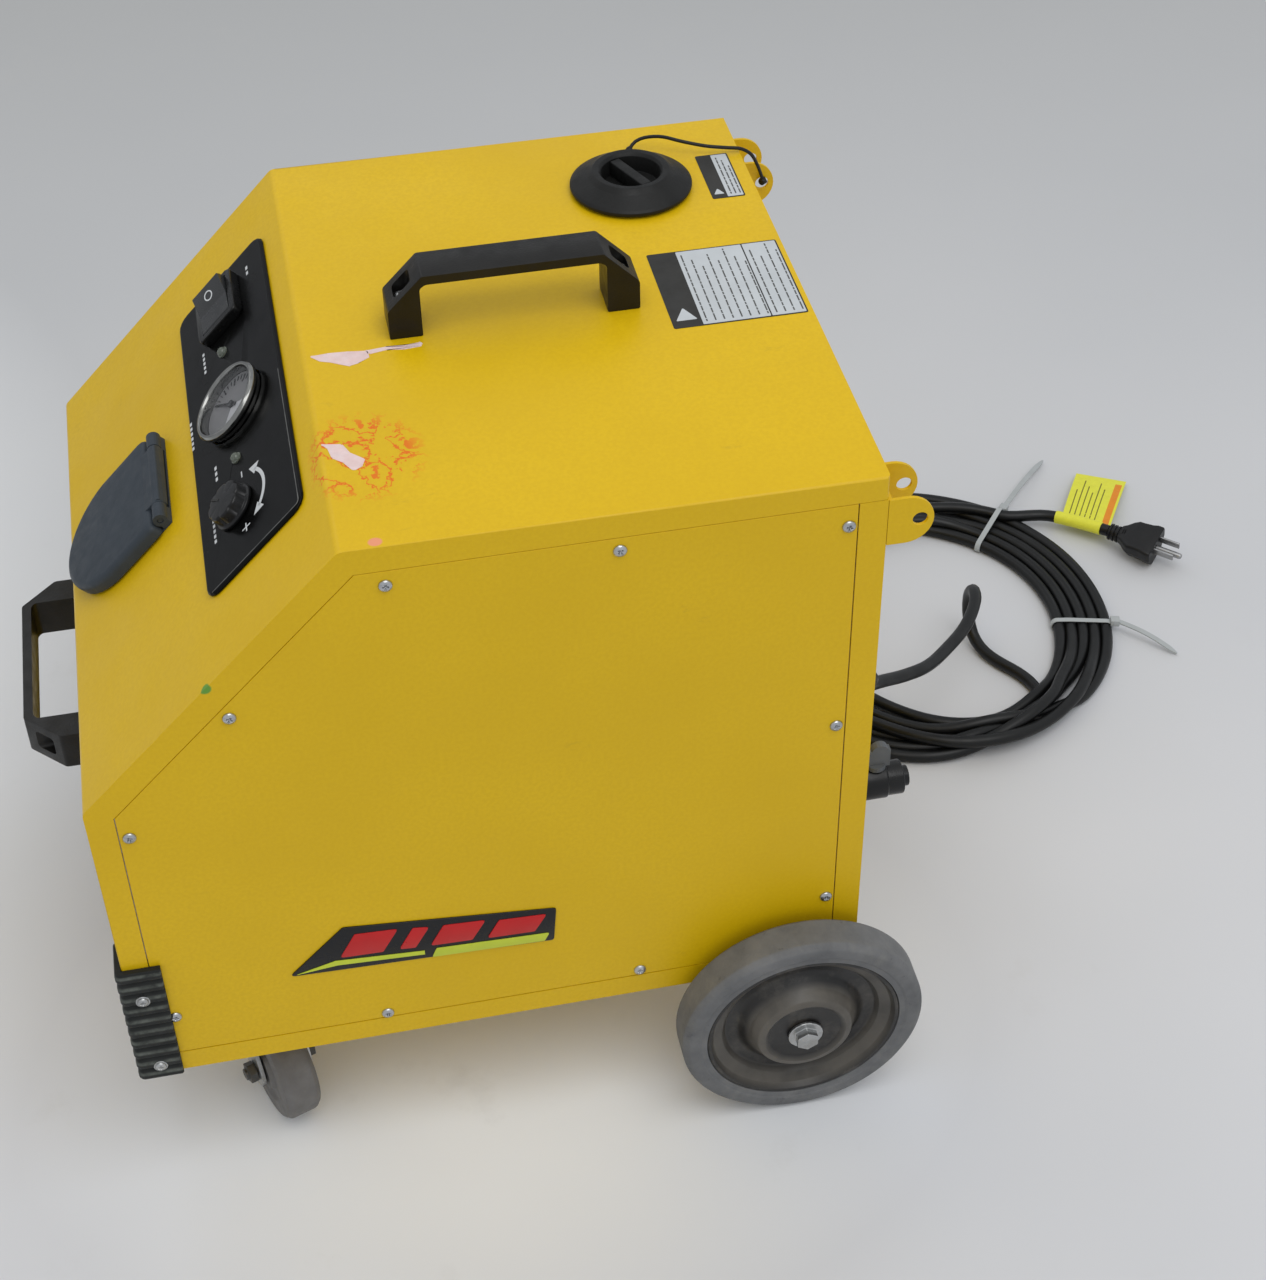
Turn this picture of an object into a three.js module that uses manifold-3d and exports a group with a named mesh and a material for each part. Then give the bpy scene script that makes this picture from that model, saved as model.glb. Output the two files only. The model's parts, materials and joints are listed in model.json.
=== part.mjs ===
// Commercial steam cleaner on wheels: a sheet-steel cabinet with a sloping control front,
// two rear wheels, two swivel casters and a mains cord coiled behind it.
// Millimetres, +Z up, the front faces -Y, the machine's left side is +X.
import * as THREE from "three";
import { mergeVertices } from "three/addons/utils/BufferGeometryUtils.js";
import Module from "manifold-3d";

const wasm = await Module();
wasm.setup();

// ---- driving dimensions ----
const LENGTH = 436; // cabinet, front to back
const HALF_WIDTH = 188;
const HEIGHT = 377; // cabinet, without wheels
const FRONT_HEIGHT = 223; // where the slope starts
const SLOPE_RUN = 151;
const SHEET = 1.5;
const FLANGE = 15.5; // visible frame strip round each side panel
const GAP = 0.3; // between pieces that touch
const CLEARANCE = 100; // floor to the underside of the cabinet

const WHEEL_R = 76.2;
const TYRE_IN_R = 61;
const WHEEL_X = [195, 220.5]; // inner and outer faces of a rear wheel
const AXLE_Y = 396.2;
const AXLE_Z = WHEEL_R - CLEARANCE;
const AXLE_R = 6.35;

const CASTER_R = 37.5;
const CASTER_WIDTH = 26;
const CASTER_TRAIL = 28;
const CASTER_YAW = 20; // degrees, the way the casters were last rolled
const CASTER_AT = { x: 116.2, y: 66.7 };

const PANEL = { halfX: 132, low: 119.2, high: 200.2, top: 2.6, x: -1 };
const GAUGE = { x: 0, s: 159.8, r: 25.4, top: 10.8 };
const SWITCH = { x: -96.5, s: 160.5, halfX: 21.5, halfS: 16.5, top: 6.5, pivot: 5.6 };
const KNOB = { x: 83.8, s: 150.5, r: 14, height: 9.4 };
const LAMPS = { status: { x: -58, s: 156 }, fill: { x: 45, s: 156 } };
const FLAP = { x: -4.1, s: 51, r: 42.6, hinge: 91.7, pinHeight: 6.4, top: 10.5 };

const CAP = { x: -117.3, y: 362.3, r: 36.9 };
const HANDLE = { length: 141.6, height: 41, width: 25, leg: 18.5 };
const TOP_HANDLE_AT = { x: -2, y: 270.8 };
const FRONT_HANDLE_Z = 161;
const LUG = { reach: 25.5, z: 345.5, halfHeight: 15, holeR: 4.25, holeY: 18, apart: 30 };
const BUMPER = { low: -1.5, high: 95.5, wrap: 22, out: 4, ribs: 10 };
const GLAND = { x: 40, z: 95, length: 34 };
const VALVE = { x: 131, z: 93, r: 11.7, out: 40.5, bossR: 6.5, bossOut: 4 };

const CORD_R = 4.65;
const COIL = { x: -202.5, y: 606.5, inner: 86, outer: 159, height: 30, depth: 0.918 };

const FRONT_REACH = HANDLE.height - 0.6;
const REAR_REACH = LENGTH + VALVE.out + VALVE.bossOut;
const FRONT_Y = -(REAR_REACH - FRONT_REACH) / 2; // centres the machine on the origin

const SLOPE_RISE = HEIGHT - FRONT_HEIGHT;
const SLOPE_ANGLE = Math.atan2(SLOPE_RISE, SLOPE_RUN);

// ---- materials ----
const paint = (color, roughness, metalness = 0) =>
  new THREE.MeshStandardMaterial({ color, roughness, metalness });
const yellowPaint = paint(0xd9b32c, 0.5);
const blackPlastic = paint(0x1c1c1d, 0.55);
const glossBlack = paint(0x101011, 0.25);
const slatePlastic = paint(0x454b52, 0.6);
const blackRubber = paint(0x202022, 0.85);
const greyRubber = paint(0x85888b, 0.8);
const zinc = paint(0xb9bbbb, 0.35, 0.9);
const chrome = paint(0xe4e6e8, 0.12, 1);
const stainless = paint(0xc3c5c6, 0.3, 0.9);
const brass = paint(0xb58e45, 0.35, 0.9);
const tankPlastic = paint(0xdfe3e4, 0.6);
const clearGlass = paint(0xf2f6f8, 0.05);
const dialWhite = paint(0xe9e9e6, 0.6);
const boardGreen = paint(0x1f6b3d, 0.6);
const lampLens = paint(0xcfd6c8, 0.2);

// ---- solids ----
function toSolid(geometry) {
  const bare = geometry.clone();
  bare.deleteAttribute("normal");
  bare.deleteAttribute("uv");
  const merged = mergeVertices(bare, 1e-4);
  const faces = [];
  const index = merged.index.array;
  for (let i = 0; i < index.length; i += 3) {
    const [a, b, c] = [index[i], index[i + 1], index[i + 2]];
    if (a !== b && b !== c && c !== a) faces.push(a, b, c);
  }
  const vertProperties = merged.attributes.position.array;
  const make = (triVerts) =>
    new wasm.Manifold(new wasm.Mesh({ numProp: 3, vertProperties, triVerts }));
  const solid = make(new Uint32Array(faces));
  return solid.volume() > 0 ? solid : make(new Uint32Array(faces.reverse()));
}

function toGeometry(solid) {
  const mesh = solid.getMesh();
  const geometry = new THREE.BufferGeometry();
  const points = new Float32Array(mesh.numVert * 3);
  for (let i = 0; i < mesh.numVert; i++) {
    points.set(mesh.vertProperties.subarray(i * mesh.numProp, i * mesh.numProp + 3), i * 3);
  }
  geometry.setAttribute("position", new THREE.BufferAttribute(points, 3));
  geometry.setIndex(new THREE.BufferAttribute(new Uint32Array(mesh.triVerts), 1));
  return geometry;
}

const join = (...geometries) =>
  toGeometry(geometries.map(toSolid).reduce((all, next) => all.add(next)));
const cut = (geometry, ...tools) =>
  toGeometry(tools.map(toSolid).reduce((left, tool) => left.subtract(tool), toSolid(geometry)));

// ---- shapes ----
const box = (x0, x1, y0, y1, z0, z1) =>
  new THREE.BoxGeometry(x1 - x0, y1 - y0, z1 - z0).translate(
    (x0 + x1) / 2,
    (y0 + y1) / 2,
    (z0 + z1) / 2,
  );

// A cylinder from a to b along one axis, centred on the other two coordinates.
function rod(axis, r, a, b, u = 0, v = 0, sides = 20) {
  const made = new THREE.CylinderGeometry(r, r, b - a, sides).translate(0, (a + b) / 2, 0);
  if (axis === "x") return made.rotateZ(-Math.PI / 2).translate(0, u, v);
  if (axis === "z") return made.rotateX(Math.PI / 2).translate(u, v, 0);
  return made.translate(u, 0, v);
}

// A body of revolution; the profile is [radius, distance along the axis].
function turned(axis, profile, sides = 24) {
  const points = profile.map(([r, h]) => new THREE.Vector2(r, h));
  const made = new THREE.LatheGeometry(points, sides);
  if (axis === "x") return made.rotateZ(-Math.PI / 2);
  if (axis === "z") return made.rotateX(Math.PI / 2);
  return made;
}

const shapeOf = (points) => new THREE.Shape(points.map(([x, y]) => new THREE.Vector2(x, y)));
const extrude = (shape, depth, extra = {}) =>
  new THREE.ExtrudeGeometry(shape, { depth, bevelEnabled: false, curveSegments: 2, ...extra });

// Outlines drawn in (Y, Z) and extruded along X from x0 to x1.
const AS_SIDE = new THREE.Matrix4().makeBasis(
  new THREE.Vector3(0, 1, 0),
  new THREE.Vector3(0, 0, 1),
  new THREE.Vector3(1, 0, 0),
);
// Lays a standing handle against the front face, its length across the machine.
const AS_FRONT = new THREE.Matrix4().makeBasis(
  new THREE.Vector3(0, 0, -1),
  new THREE.Vector3(1, 0, 0),
  new THREE.Vector3(0, -1, 0),
);
const sideways = (points, x0, x1) =>
  extrude(shapeOf(points), x1 - x0).applyMatrix4(AS_SIDE).translate(x0, 0, 0);

function roundedRect(x0, x1, y0, y1, r) {
  const s = new THREE.Shape();
  s.absarc(x1 - r, y0 + r, r, -Math.PI / 2, 0);
  s.absarc(x1 - r, y1 - r, r, 0, Math.PI / 2);
  s.absarc(x0 + r, y1 - r, r, Math.PI / 2, Math.PI);
  s.absarc(x0 + r, y0 + r, r, Math.PI, Math.PI * 1.5);
  s.closePath();
  return s;
}

const degrees = (d) => (d * Math.PI) / 180;

// ---- the scene graph ----
const machine = new THREE.Group();
const chassis = new THREE.Group(); // origin: middle of the cabinet's lower front edge
chassis.position.set(0, FRONT_Y, CLEARANCE);
machine.add(chassis);
const slope = new THREE.Group(); // X across, Y up the slope, Z out of it
slope.position.set(0, 0, FRONT_HEIGHT);
slope.rotation.x = SLOPE_ANGLE;
chassis.add(slope);

function add(parent, name, geometry, material) {
  const mesh = new THREE.Mesh(geometry, material);
  mesh.name = name;
  parent.add(mesh);
  return mesh;
}

const SIDES = [
  ["left", 1],
  ["right", -1],
];
// Swaps a left-hand piece for its right-hand twin.
const mirrored = (geometry, sign) =>
  sign > 0 ? geometry : toGeometry(toSolid(geometry).mirror([1, 0, 0]));

// The cabinet's side outline, drawn in by some distance.
function envelope(inset) {
  const cosA = Math.cos(SLOPE_ANGLE);
  const shift = inset / cosA; // how far the slope line drops
  const rise = SLOPE_RISE / SLOPE_RUN;
  const slopeZ = (y) => FRONT_HEIGHT + y * rise - shift;
  const top = HEIGHT - inset;
  return [
    [inset, inset],
    [LENGTH - inset, inset],
    [LENGTH - inset, top],
    [(top + shift - FRONT_HEIGHT) / rise, top],
    [inset, slopeZ(inset)],
  ];
}

const onSlope = (geometry) =>
  geometry.clone().rotateX(SLOPE_ANGLE).translate(0, 0, FRONT_HEIGHT);

// ---- cabinet ----
function basePan() {
  const floor = box(-HALF_WIDTH, HALF_WIDTH, 0, LENGTH, 0, SHEET);
  const walls = [
    box(-HALF_WIDTH, HALF_WIDTH, 0, SHEET, 0, FLANGE),
    box(-HALF_WIDTH, -HALF_WIDTH + SHEET, 0, LENGTH, 0, FLANGE),
    box(HALF_WIDTH - SHEET, HALF_WIDTH, 0, LENGTH, 0, FLANGE),
  ];
  const hangers = [-1, 1].map((side) =>
    cut(
      join(
        box(side * 166 - 1.5, side * 166 + 1.5, AXLE_Y - 20, AXLE_Y + 20, AXLE_Z, 0.5),
        rod("x", 20, side * 166 - 1.5, side * 166 + 1.5, AXLE_Y, AXLE_Z),
      ),
      rod("x", AXLE_R + GAP, side * 166 - 4, side * 166 + 4, AXLE_Y, AXLE_Z),
      box(side * 166 - 4, side * 166 + 4, AXLE_Y - 30, AXLE_Y + 30, AXLE_Z - 30, AXLE_Z - 13),
    ),
  );
  return join(floor, ...walls, ...hangers);
}

// One folded sheet: front, slope and top, with the lips that frame the side panels.
function wrapCover() {
  const outside = sideways(envelope(0), -HALF_WIDTH, HALF_WIDTH);
  const hollow = envelope(SHEET);
  hollow[1][0] = hollow[2][0] = LENGTH + 10;
  const window = envelope(FLANGE);
  window[1][0] = window[2][0] = LENGTH + 10;
  window[0][1] = window[1][1] = 4;
  const rear = box(-HALF_WIDTH - 5, HALF_WIDTH + 5, LENGTH - 1, LENGTH + 20, -5, HEIGHT - FLANGE);
  return cut(
    outside,
    sideways(hollow, -HALF_WIDTH + SHEET, HALF_WIDTH - SHEET),
    sideways(window, -HALF_WIDTH - 5, HALF_WIDTH + 5),
    box(-HALF_WIDTH - 5, HALF_WIDTH + 5, -5, LENGTH + 20, -5, FLANGE + GAP),
    rod("z", 24, HEIGHT - 5, HEIGHT + 5, CAP.x, CAP.y),
    onSlope(rod("z", 24.5, -5, 5, GAUGE.x, GAUGE.s)),
    onSlope(box(SWITCH.x - 19.5, SWITCH.x + 19.5, SWITCH.s - 15, SWITCH.s + 15, -5, 5)),
    onSlope(rod("z", 5.5, -5, 5, KNOB.x, KNOB.s, 16)),
    onSlope(rod("z", 4.5, -5, 5, LAMPS.status.x, LAMPS.status.s, 16)),
    onSlope(rod("z", 4.5, -5, 5, LAMPS.fill.x, LAMPS.fill.s, 16)),
    onSlope(rod("z", 30, -5, 5, FLAP.x, FLAP.s)),
  );
}

function rearPanel() {
  const low = SHEET + GAP;
  const high = HEIGHT - SHEET - GAP;
  const sheet = box(-HALF_WIDTH + SHEET + GAP, HALF_WIDTH - SHEET - GAP, LENGTH - SHEET, LENGTH, low, high);
  const strips = [-1, 1].map((side) => {
    const outer = side * (HALF_WIDTH - SHEET / 2);
    return box(
      outer - SHEET / 2,
      outer + SHEET / 2,
      LENGTH - FLANGE,
      LENGTH,
      FLANGE + GAP,
      HEIGHT - FLANGE - GAP,
    );
  });
  const corners = [-1, 1].map((side) => {
    const edge = side * (HALF_WIDTH - 6);
    return box(edge - 5.5, edge + 5.5, LENGTH - SHEET, LENGTH, FLANGE + GAP, HEIGHT - FLANGE - GAP);
  });
  return cut(
    join(sheet, ...strips, ...corners),
    rod("y", 9, LENGTH - 5, LENGTH + 5, GLAND.x, GLAND.z, 20),
    rod("y", 8, LENGTH - 5, LENGTH + 5, VALVE.x, VALVE.z, 20),
  );
}

const panelLine = FLANGE + 0.5;
const sidePanel = () => sideways(envelope(panelLine), HALF_WIDTH - SHEET, HALF_WIDTH);

function sideFrame() {
  const x0 = HALF_WIDTH - SHEET - GAP - 1.8;
  const x1 = HALF_WIDTH - SHEET - GAP;
  return cut(sideways(envelope(2.2), x0, x1), sideways(envelope(30), x0 - 1, x1 + 1));
}

function buildCabinet() {
  add(chassis, "base_pan", basePan(), yellowPaint);
  add(chassis, "wrap_cover", wrapCover(), yellowPaint);
  add(chassis, "rear_panel", rearPanel(), yellowPaint);
  for (const [name, sign] of SIDES) {
    add(chassis, "side_panel_" + name, mirrored(sidePanel(), sign), yellowPaint);
    add(chassis, "side_frame_" + name, mirrored(sideFrame(), sign), zinc);
  }
}

// ---- control slope ----
function controlPanel() {
  const { halfX, low, high, top, x } = PANEL;
  const plate = extrude(roundedRect(x - halfX, x + halfX, low, high, 9), top - GAP - 1, {
    bevelEnabled: true,
    bevelThickness: 1,
    bevelSize: 1.2,
    bevelOffset: -1.2,
    bevelSegments: 1,
  }).translate(0, 0, GAP);
  const under = box(x - halfX - 5, x + halfX + 5, low - 5, high + 5, -5, GAP);
  return cut(
    plate,
    under,
    rod("z", 24.2, -5, 5, GAUGE.x, GAUGE.s),
    box(SWITCH.x - 19.5, SWITCH.x + 19.5, SWITCH.s - 15, SWITCH.s + 15, -5, 5),
    rod("z", 5.5, -5, 5, KNOB.x, KNOB.s, 16),
    rod("z", 3.4, -5, 5, LAMPS.status.x, LAMPS.status.s, 16),
    rod("z", 3.4, -5, 5, LAMPS.fill.x, LAMPS.fill.s, 16),
  );
}

function switchHousing() {
  const { halfX, halfS, top } = SWITCH;
  const flange = extrude(roundedRect(-halfX, halfX, -halfS, halfS, 2.5), top - PANEL.top - GAP)
    .translate(0, 0, PANEL.top + GAP);
  const body = box(-19, 19, -14.5, 14.5, -26, PANEL.top + 1);
  const well = box(-17.6, 17.6, -12.4, 12.4, -14, 20);
  return cut(join(flange, body), well);
}

// The paddle's section across the rocking axis, at its neutral tilt about (0, 0).
function switchRocker() {
  const section = shapeOf([
    [-17, 3.4],
    [-16, 5],
    [0, 1.8],
    [16, 5],
    [17, 3.4],
    [16, -2.5],
    [9, -8.5],
    [-9, -8.5],
    [-16, -2.5],
  ]);
  return extrude(section, 24).translate(0, 0, -12).rotateX(Math.PI / 2);
}

const lamp = () =>
  turned("z", [
    [0, -12],
    [3, -12],
    [3, PANEL.top + GAP],
    [4.2, PANEL.top + GAP],
    [4.2, PANEL.top + 1.2],
    [2.9, PANEL.top + 3.4],
    [0, PANEL.top + 4],
  ], 14);

function gaugeCase() {
  const { r, top } = GAUGE;
  const seat = PANEL.top + GAP;
  return turned("z", [
    [0, -32],
    [23.4, -32],
    [23.4, seat],
    [r, seat],
    [r, top - 1.6],
    [r - 1.2, top],
    [r - 2.2, top],
    [r - 2.9, top - 1.4],
    [r - 2.9, 3.2],
    [0, 3.2],
  ]);
}

const gaugeDial = () => turned("z", [[0, 3.5], [22, 3.5], [22, 4.3], [0, 4.3]]);

function gaugeNeedle() {
  const pointer = extrude(shapeOf([[-5, -1.1], [17.5, -0.35], [17.5, 0.35], [-5, 1.1]]), 0.6);
  return join(rod("z", 2.2, 4.6, 6.2, 0, 0, 16), pointer.translate(0, 0, 5));
}

const gaugeGlass = () =>
  turned("z", [[0, 8], [22.1, 8], [22.1, 9.2], [14, 11.2], [0, 12]]);

function outputKnob() {
  const seat = PANEL.top + 0.6;
  const { r, height } = KNOB;
  const skirt = turned("z", [
    [0, seat],
    [r, seat],
    [r, seat + 1.6],
    [r - 1, seat + 2.4],
    [r - 1.4, seat + height - 1],
    [r - 2.4, seat + height],
    [0, seat + height],
  ]);
  const shaft = rod("z", 3, -14, seat + 2, 0, 0, 16);
  const pointer = box(-0.7, 0.7, 3, r - 2.6, seat + height - 1, seat + height + 0.5);
  const scoops = [0, 1, 2, 3, 4, 5, 6, 7].map((i) => {
    const angle = degrees(22.5 + i * 45);
    return rod("z", 1.9, seat + 4, seat + height + 2, r * Math.cos(angle), r * Math.sin(angle), 8);
  });
  return cut(join(skirt, shaft, pointer), ...scoops);
}

const outputControl = () =>
  cut(
    join(rod("z", 4.9, -14, 1.8, 0, 0, 16), box(-12, 12, -12, 12, -24, -12)),
    rod("z", 3.4, -16, 5, 0, 0, 16),
  );

const HALF_ROUND = { curveSegments: 7 };

// The grey hose socket: a D-shaped flange with a bore, and the fixed ends of the flap's hinge.
function dOutline(r, top) {
  const s = new THREE.Shape();
  s.moveTo(r, top);
  s.lineTo(-r, top);
  s.absarc(0, 0, r, Math.PI, Math.PI * 2);
  s.closePath();
  return s;
}

function hoseSocket() {
  const pin = FLAP.hinge - FLAP.s;
  const flange = extrude(dOutline(FLAP.r - 3, pin + 3), 1, HALF_ROUND).translate(0, 0, GAP);
  const tube = rod("z", 29, -46, GAP + 0.5);
  const bore = rod("z", 21, -42, 5);
  const stem = turned("z", [[0, -43], [8, -43], [8, -34], [5.5, -30], [0, -30]], 16);
  const ears = [-1, 1].map((side) => {
    const x0 = side > 0 ? 27.3 : -FLAP.r + 3;
    const x1 = side > 0 ? FLAP.r - 3 : -27.3;
    return join(rod("x", 4.2, x0, x1, pin, FLAP.pinHeight, 20), box(x0, x1, pin - 3, pin + 3, 0.8, 6));
  });
  const pinHole = rod("x", 1.9, -60, 60, pin, FLAP.pinHeight, 12);
  return cut(join(cut(join(flange, tube), bore), stem, ...ears), pinHole);
}

function socketFlap() {
  const pin = FLAP.hinge - FLAP.s;
  const shell = extrude(dOutline(FLAP.r - 2, pin - 6.8), FLAP.top - 1.7 - 2, {
    bevelEnabled: true,
    bevelThickness: 2,
    bevelSize: 2,
    bevelSegments: 2,
    ...HALF_ROUND,
  }).translate(0, 0, 1.7);
  const trimmed = cut(shell, box(-60, 60, -60, 60, -5, 1.7));
  const hollow = extrude(dOutline(FLAP.r - 5, pin - 10), 3.5, HALF_ROUND).translate(0, 0, 1);
  const knuckle = join(
    rod("x", 4.2, -26.8, 26.8, pin, FLAP.pinHeight, 20),
    box(-26.8, 26.8, pin - 8, pin, 3, FLAP.top - 0.6),
  );
  const pinHole = rod("x", 1.9, -60, 60, pin, FLAP.pinHeight, 12);
  return cut(join(cut(trimmed, hollow), knuckle), pinHole);
}

const flapPin = () => rod("x", 1.55, -FLAP.r + 3.5, FLAP.r - 3.5, 0, 0, 12);

function buildSlope() {
  add(slope, "control_panel", controlPanel(), glossBlack);
  const housing = add(slope, "switch_housing", switchHousing(), blackPlastic);
  housing.position.set(SWITCH.x, SWITCH.s, 0);
  const rocker = add(slope, "switch_rocker", switchRocker(), glossBlack);
  rocker.position.set(SWITCH.x, SWITCH.s, SWITCH.pivot);
  rocker.rotation.y = degrees(10);
  for (const [name, at] of Object.entries(LAMPS)) {
    const lens = add(slope, name + "_lamp", lamp(), lampLens);
    lens.position.set(at.x, at.s, 0);
  }
  for (const [name, geometry, material] of [
    ["gauge_case", gaugeCase(), chrome],
    ["gauge_dial", gaugeDial(), dialWhite],
    ["gauge_needle", gaugeNeedle(), glossBlack],
    ["gauge_glass", gaugeGlass(), clearGlass],
  ]) {
    const piece = add(slope, name, geometry, material);
    piece.position.set(GAUGE.x, GAUGE.s, 0);
    if (name === "gauge_needle") piece.rotation.z = degrees(225);
  }
  const knob = add(slope, "output_knob", outputKnob(), glossBlack);
  knob.position.set(KNOB.x, KNOB.s, 0);
  knob.rotation.z = degrees(135);
  const control = add(slope, "output_control", outputControl(), blackPlastic);
  control.position.set(KNOB.x, KNOB.s, 0);
  const socket = add(slope, "hose_socket", hoseSocket(), slatePlastic);
  socket.position.set(FLAP.x, FLAP.s, 0);
  const flap = add(slope, "socket_flap", socketFlap(), slatePlastic);
  flap.position.set(FLAP.x, FLAP.s, 0);
  const pin = add(slope, "flap_hinge_pin", flapPin(), stainless);
  pin.position.set(FLAP.x, FLAP.hinge, FLAP.pinHeight);
}

// ---- filler ----
function buildFiller() {
  const filler = new THREE.Group();
  filler.position.set(CAP.x, CAP.y, HEIGHT);
  chassis.add(filler);
  const neck = turned("z", [
    [20, -46],
    [23, -46],
    [23, GAP],
    [27, GAP],
    [27, 2.4],
    [20, 2.4],
    [20, -46],
  ]);
  add(filler, "filler_neck", cut(neck), blackPlastic);

  // The ring lies loose round the neck's flange; the tether is tied to its eyelet.
  const eyelet = join(rod("z", 4.2, GAP, 1.5, -39.5, 0, 16), box(-39.5, -29, -4.2, 4.2, GAP, 1.5));
  const ring = cut(
    join(rod("z", 33, GAP, 1.5), eyelet),
    rod("z", 28, -5, 5),
    rod("z", 1.6, -5, 5, -39.5, 0, 12),
  );
  add(filler, "cap_tether_ring", ring, blackPlastic).rotation.z = degrees(-10);

  const cap = turned("z", [
    [0, -20],
    [18.4, -20],
    [18.4, 2.9],
    [33, 2.9],
    [34.5, 1.9],
    [CAP.r - 0.4, 1.9],
    [CAP.r, 2.5],
    [CAP.r, 4.4],
    [CAP.r - 1, 5.2],
    [24.6, 10.4],
    [21, 11.4],
    [17.6, 11.4],
    [16.2, 9.8],
    [15.6, 1.4],
    [0, 1.4],
  ], 24);
  const bar = box(-16, 16, -3.2, 3.2, 1, 10.6);
  add(filler, "filler_cap", join(cap, bar), blackPlastic).rotation.z = degrees(-62);
}

const TETHER_R = 1.1;
// From the ring's eyelet over the top's rear edge to the knot in the lug's hole.
const TETHER_ROUTE = [
  [-156.8, 369.6, 380.2],
  [-158.9, 372.5, 382.8],
  [-159.6, 376.5, 384.6],
  [-158.9, 380.6, 385.8],
  [-156.5, 387.5, 386.8],
  [-153.8, 392.7, 386.8],
  [-151.1, 397, 386.3],
  [-148.4, 403.1, 385.3],
  [-145.2, 415.7, 382.8],
  [-144, 428, 380.8],
  [-143.6, 436.8, 379.2],
  [-144.3, 442.9, 374.8],
  [-148.2, 448, 365.5],
  [-151.5, 451.5, 356.5],
  [-153.3, 453.8, 349.5],
];

function tube(route, r, step, sides) {
  const curve = new THREE.CatmullRomCurve3(
    route.map((p) => new THREE.Vector3(...p)),
    false,
    "centripetal",
  );
  const section = shapeOf(
    Array.from({ length: sides }, (_, i) => {
      const angle = (i / sides) * Math.PI * 2;
      return [r * Math.cos(angle), r * Math.sin(angle)];
    }),
  );
  return new THREE.ExtrudeGeometry(section, {
    steps: Math.max(2, Math.round(curve.getLength() / step)),
    extrudePath: curve,
    bevelEnabled: false,
  });
}

// ---- lugs, handles, bumpers ----
// A bent strip: a web on the rear panel and two D-shaped ears with a hole each.
function lugBracket() {
  const y0 = LENGTH + GAP;
  const thick = 2;
  const { reach, z, halfHeight, holeR, holeY, apart } = LUG;
  const ear = (x) =>
    join(
      box(x - thick, x, y0, LENGTH + reach - halfHeight, z - halfHeight, z + halfHeight),
      rod("x", halfHeight, x - thick, x, LENGTH + reach - halfHeight, z, 32),
    );
  const web = box(HALF_WIDTH - apart - thick, HALF_WIDTH, y0, y0 + thick, z - halfHeight, z + halfHeight);
  const behind = box(HALF_WIDTH - 50, HALF_WIDTH + 5, LENGTH - 40, y0, z - 30, z + 30);
  return cut(
    join(web, ear(HALF_WIDTH), ear(HALF_WIDTH - apart)),
    behind,
    rod("x", holeR, HALF_WIDTH - 50, HALF_WIDTH + 5, LENGTH + holeY, z, 20),
  );
}

// A bridge handle standing on its feet: length along Y, height along Z, width along X.
function bridgeHandle() {
  const { length, height, width, leg } = HANDLE;
  const half = length / 2;
  const bevel = 1.6;
  const outline = [
    [-half, GAP],
    [-half + leg, GAP],
    [-half + leg, 32],
    [-half + leg + 3, 35],
    [half - leg - 3, 35],
    [half - leg, 32],
    [half - leg, GAP],
    [half, GAP],
    [half, 18],
    [half - 18.5, height - 1.5],
    [half - 23, height],
    [-half + 23, height],
    [-half + 18.5, height - 1.5],
    [-half, 18],
  ];
  const solid = new THREE.ExtrudeGeometry(shapeOf(outline), {
    depth: width - 2 * bevel,
    bevelEnabled: true,
    bevelThickness: bevel,
    bevelSize: bevel,
    bevelOffset: -bevel,
    bevelSegments: 2,
  }).applyMatrix4(AS_SIDE).translate(-width / 2 + bevel, 0, 0);
  const wells = [-1, 1].map((side) =>
    rod("z", 5, 14, height + 5, 0, side * (half - 9.2), 16),
  );
  const edge = width / 2 + 1;
  const crown = extrude(
    shapeOf([
      [-edge, -1],
      [edge, -1],
      [edge, height - 3],
      [6.5, height - 0.6],
      [-6.5, height - 0.6],
      [-edge, height - 3],
    ]),
    length + 10,
  ).rotateX(Math.PI / 2).translate(0, half + 5, 0);
  return cut(toGeometry(toSolid(solid).intersect(toSolid(crown))), ...wells);
}

function bumper() {
  const { low, high, wrap, out, ribs } = BUMPER;
  const x = HALF_WIDTH + GAP;
  const plan = new THREE.Shape();
  plan.moveTo(x, wrap);
  plan.lineTo(x + out, wrap);
  plan.lineTo(x + out, -GAP);
  plan.absarc(x, -GAP, out, 0, -Math.PI / 2, true);
  plan.lineTo(x - wrap, -GAP - out);
  plan.lineTo(x - wrap, -GAP);
  plan.lineTo(x, -GAP);
  plan.closePath();
  const body = extrude(plan, high - low).translate(0, 0, low);
  const pitch = (high - low) / ribs;
  const grooves = Array.from({ length: ribs - 1 }, (_, i) => {
    const z = low + pitch * (i + 1);
    const side = box(x + out - 1.4, x + out + 5, -12, wrap - 2.5, z - 1.3, z + 1.3);
    const front = box(x - wrap + 2.5, x + out + 5, -12, -GAP - out + 1.4, z - 1.3, z + 1.3);
    return join(side, front);
  });
  return cut(body, ...grooves);
}

function buildFittings() {
  for (const [name, sign] of SIDES) {
    add(chassis, "lug_bracket_" + name, mirrored(lugBracket(), sign), yellowPaint);
    add(chassis, "bumper_" + name, mirrored(bumper(), sign), blackRubber);
  }
  const top = add(chassis, "top_handle", bridgeHandle(), blackPlastic);
  top.position.set(TOP_HANDLE_AT.x, TOP_HANDLE_AT.y, HEIGHT);
  const front = add(chassis, "front_handle", bridgeHandle().applyMatrix4(AS_FRONT), blackPlastic);
  front.position.set(0, 0, FRONT_HANDLE_Z);
}

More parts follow.
